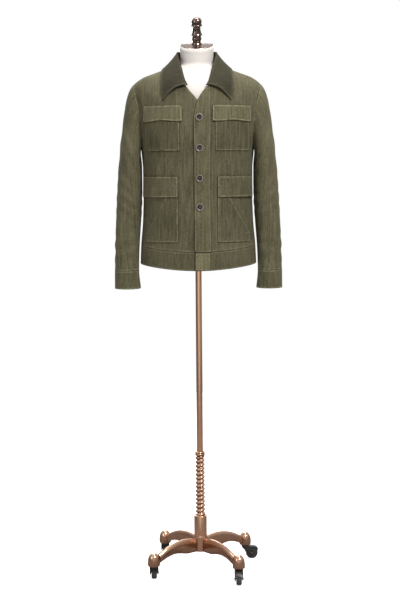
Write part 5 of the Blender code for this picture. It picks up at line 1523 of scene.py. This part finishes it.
LEG_SECTION = (
    # across share of the width, up share of the height, on the right half from the bottom up
    (0.36, 0.0),
    (0.42, 0.03),
    (0.455, 0.12),
    (0.48, 0.35),
    (0.50, 0.58),
    (0.47, 0.70),
    (0.36, 0.86),
    (0.24, 0.965),
    (0.12, 1.0),
)
LEG_SECTION = ((-0.36, 0.0),) + LEG_SECTION + tuple((-across, up) for across, up in LEG_SECTION[:0:-1])
LEG_ROWS = 48
BELL = (
    # height, radius share
    (0, 0.93),
    (0.6, 0.975),
    (3, 1.0),
    (17, 1.0),
    (26, 0.92),
    (32, 0.79),
    (37, 0.56),
    (40, 0.33),
    (41, 0.0),
)
BELL_SAMPLES = 40
CORNERS = (("front_right", 0, -90), ("back_right", 1, 0), ("back_left", 2, 90), ("front_left", 3, 90))
for word, quarters, trail in CORNERS:
    direction = LEG_TURN + quarters * math.pi / 2
    outwards = np.array([math.cos(direction), math.sin(direction), 0])
    across = np.array([-math.sin(direction), math.cos(direction), 0])
    reaches = np.linspace(LEG[0][0], LEG[-1][0], LEG_ROWS)
    points = []
    for reach in reaches:
        bottom, leg_top, width = (float(smooth_table(LEG, column, reach)) for column in (1, 2, 3))
        for part, up_share in LEG_SECTION:
            height = bottom + (leg_top - bottom) * up_share
            sideways = across * part * width * MM
            points.append(outwards * reach * MM + sideways + np.array([0, 0, height * MM]))
    sides = len(LEG_SECTION)
    faces = [list(range(sides)), [(len(reaches) - 1) * sides + corner for corner in range(sides)][::-1]]
    for row in range(len(reaches) - 1):
        for corner in range(sides):
            after = (corner + 1) % sides
            next_row = (row + 1) * sides
            faces.append([row * sides + after, row * sides + corner, next_row + corner, next_row + after])
    show(f"leg_{word}_metal", points, faces, copper, "base", f"leg_{word}", "copper", 45)
    centre = np.array([LEG_REACH * math.cos(direction), LEG_REACH * math.sin(direction), 0])
    outline = smooth_profile([(height, share_of * 1000) for height, share_of in BELL], BELL_SAMPLES)
    profile = [(radius * BELL_RADIUS, BELL_BOTTOM + height) for radius, height in outline[:-1]]
    profile = [(0, BELL_BOTTOM)] + profile + [(0.0, BELL_TOP)]
    bell = turned_mesh(profile, 64, origin=centre)
    show(f"bell_{word}_metal", *bell, copper, "base", f"bell_{word}", "copper", 60)

# ---------------------------------------------------------------- casters
# Under each bell a black nylon fork swivels freely. It has a curved hood over its one hard black wheel, which
# turns on a fixed axle with a round metal head at each end.
WHEEL_RADIUS = 20 * MM
WHEEL_WIDTH = 17 * MM
WHEEL_TRAIL = 22 * MM
FORK_HALF = 13.5 * MM
# The fork's hood over the wheel: its arc in degrees from upright, from the trailing side to the bell's,
# and its radii.
HOOD_FROM, HOOD_TO, HOOD_STEPS = -62, 78, 28
HOOD_INNER, HOOD_CROWN, HOOD_SKIRT = 20.7 * MM, 21.5 * MM, 23.5 * MM
HOOD_FLARE = (0.15, 0.8)  # sines of the angles between which its crown's radius grows into its skirt's
HOOD_HALF = 11.5 * MM
HOOD_WEB = math.radians(50)  # up to here the hood is filled out to the underside of the fork's seat
nylon = plated("black_nylon", (0.009, 0.009, 0.009, 1), (0.024, 0.024, 0.023, 1), 0.25, 0.5, 0.0, 0.0, 0.12)
tread = plated("wheel_tread", (0.020, 0.020, 0.020, 1), (0.055, 0.055, 0.053, 1), 0.32, 0.65, 0.0, 0.0, 0.3)
FLANK = (
    # radius, share of the wheel's half width
    (3.5, 0.94),
    (6.5, 0.94),
    (7, 0.80),
    (12.2, 0.80),
    (13.2, 0.97),
    (14.5, 1.0),
    (16.8, 0.97),
    (18.6, 0.86),
    (19.6, 0.66),
    (20, 0.42),
)
AXLE_HEAD = ((0, -0.5), (2.9, -0.5), (2.9, 0.5), (2.3, 1.1), (1.2, 1.4), (0, 1.5))
for word, quarters, trail in CORNERS:
    direction = LEG_TURN + quarters * math.pi / 2
    back_way = np.array([math.cos(math.radians(trail)), math.sin(math.radians(trail)), 0])
    sideways = np.array([-back_way[1], back_way[0], 0])
    centre = np.array([LEG_REACH * math.cos(direction), LEG_REACH * math.sin(direction), 0])
    axle = centre + back_way * WHEEL_TRAIL + np.array([0, 0, WHEEL_RADIUS])
    flank = [(radius * MM, share_wide * WHEEL_WIDTH / 2) for radius, share_wide in FLANK]
    profile = [(radius, -wide) for radius, wide in flank] + flank[::-1]
    axes = np.array([back_way, np.array([0, 0, 1.0]), -sideways])
    wheel = turned_mesh(profile, 64, axes, axle)
    wheel_node = f"caster_wheel_{word}"
    show(f"wheel_{word}_nylon", *wheel, tread, f"wheel_{word}", wheel_node, "black_nylon", 50)
    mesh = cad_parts[f"caster_fork_{word}"].data.copy()
    work = bmesh.new()
    work.from_mesh(mesh)
    bmesh.ops.remove_doubles(work, verts=work.verts, dist=0.02 * MM)
    bmesh.ops.dissolve_limit(work, angle_limit=math.radians(1), verts=work.verts, edges=work.edges)
    corners_of_hood = []
    for step in range(HOOD_STEPS + 1):
        angle = math.radians(HOOD_FROM + (HOOD_TO - HOOD_FROM) * step / HOOD_STEPS)
        out_to = HOOD_CROWN + (HOOD_SKIRT - HOOD_CROWN) * float(ease(*HOOD_FLARE, abs(math.sin(angle))))
        if 0 < angle < HOOD_WEB:
            out_to = HOOD_CROWN / math.cos(angle)
        along = -back_way * math.sin(angle) + np.array([0, 0, math.cos(angle)])
        for side_at, radius in ((-1, HOOD_INNER), (1, HOOD_INNER), (1, out_to), (-1, out_to)):
            corners_of_hood.append(work.verts.new(axle + along * radius + sideways * side_at * HOOD_HALF))
    for step in range(HOOD_STEPS):
        near = corners_of_hood[4 * step : 4 * step + 4]
        far = corners_of_hood[4 * step + 4 : 4 * step + 8]
        for corner in range(4):
            after = (corner + 1) % 4
            work.faces.new([near[corner], near[after], far[after], far[corner]])
    work.faces.new(corners_of_hood[:4][::-1])
    work.faces.new(corners_of_hood[-4:])
    work.to_mesh(mesh)
    work.free()
    mesh = modified(
        mesh, "BEVEL", width=0.5 * MM, segments=2, limit_method="ANGLE", angle_limit=math.radians(40)
    )
    fork_node = f"caster_fork_{word}"
    fit_piece(f"fork_{word}_nylon", mesh, nylon, f"caster_{word}", [fork_node], 45)
    heads = []
    for way_out in (-sideways, sideways):
        head = [(radius * MM, height * MM) for radius, height in AXLE_HEAD]
        heads.append(turned_mesh(head, 24, axes_along(way_out), axle + way_out * FORK_HALF))
    show(f"axle_heads_{word}", *gather(heads), cap_copper, f"caster_{word}", None, "copper", 60)
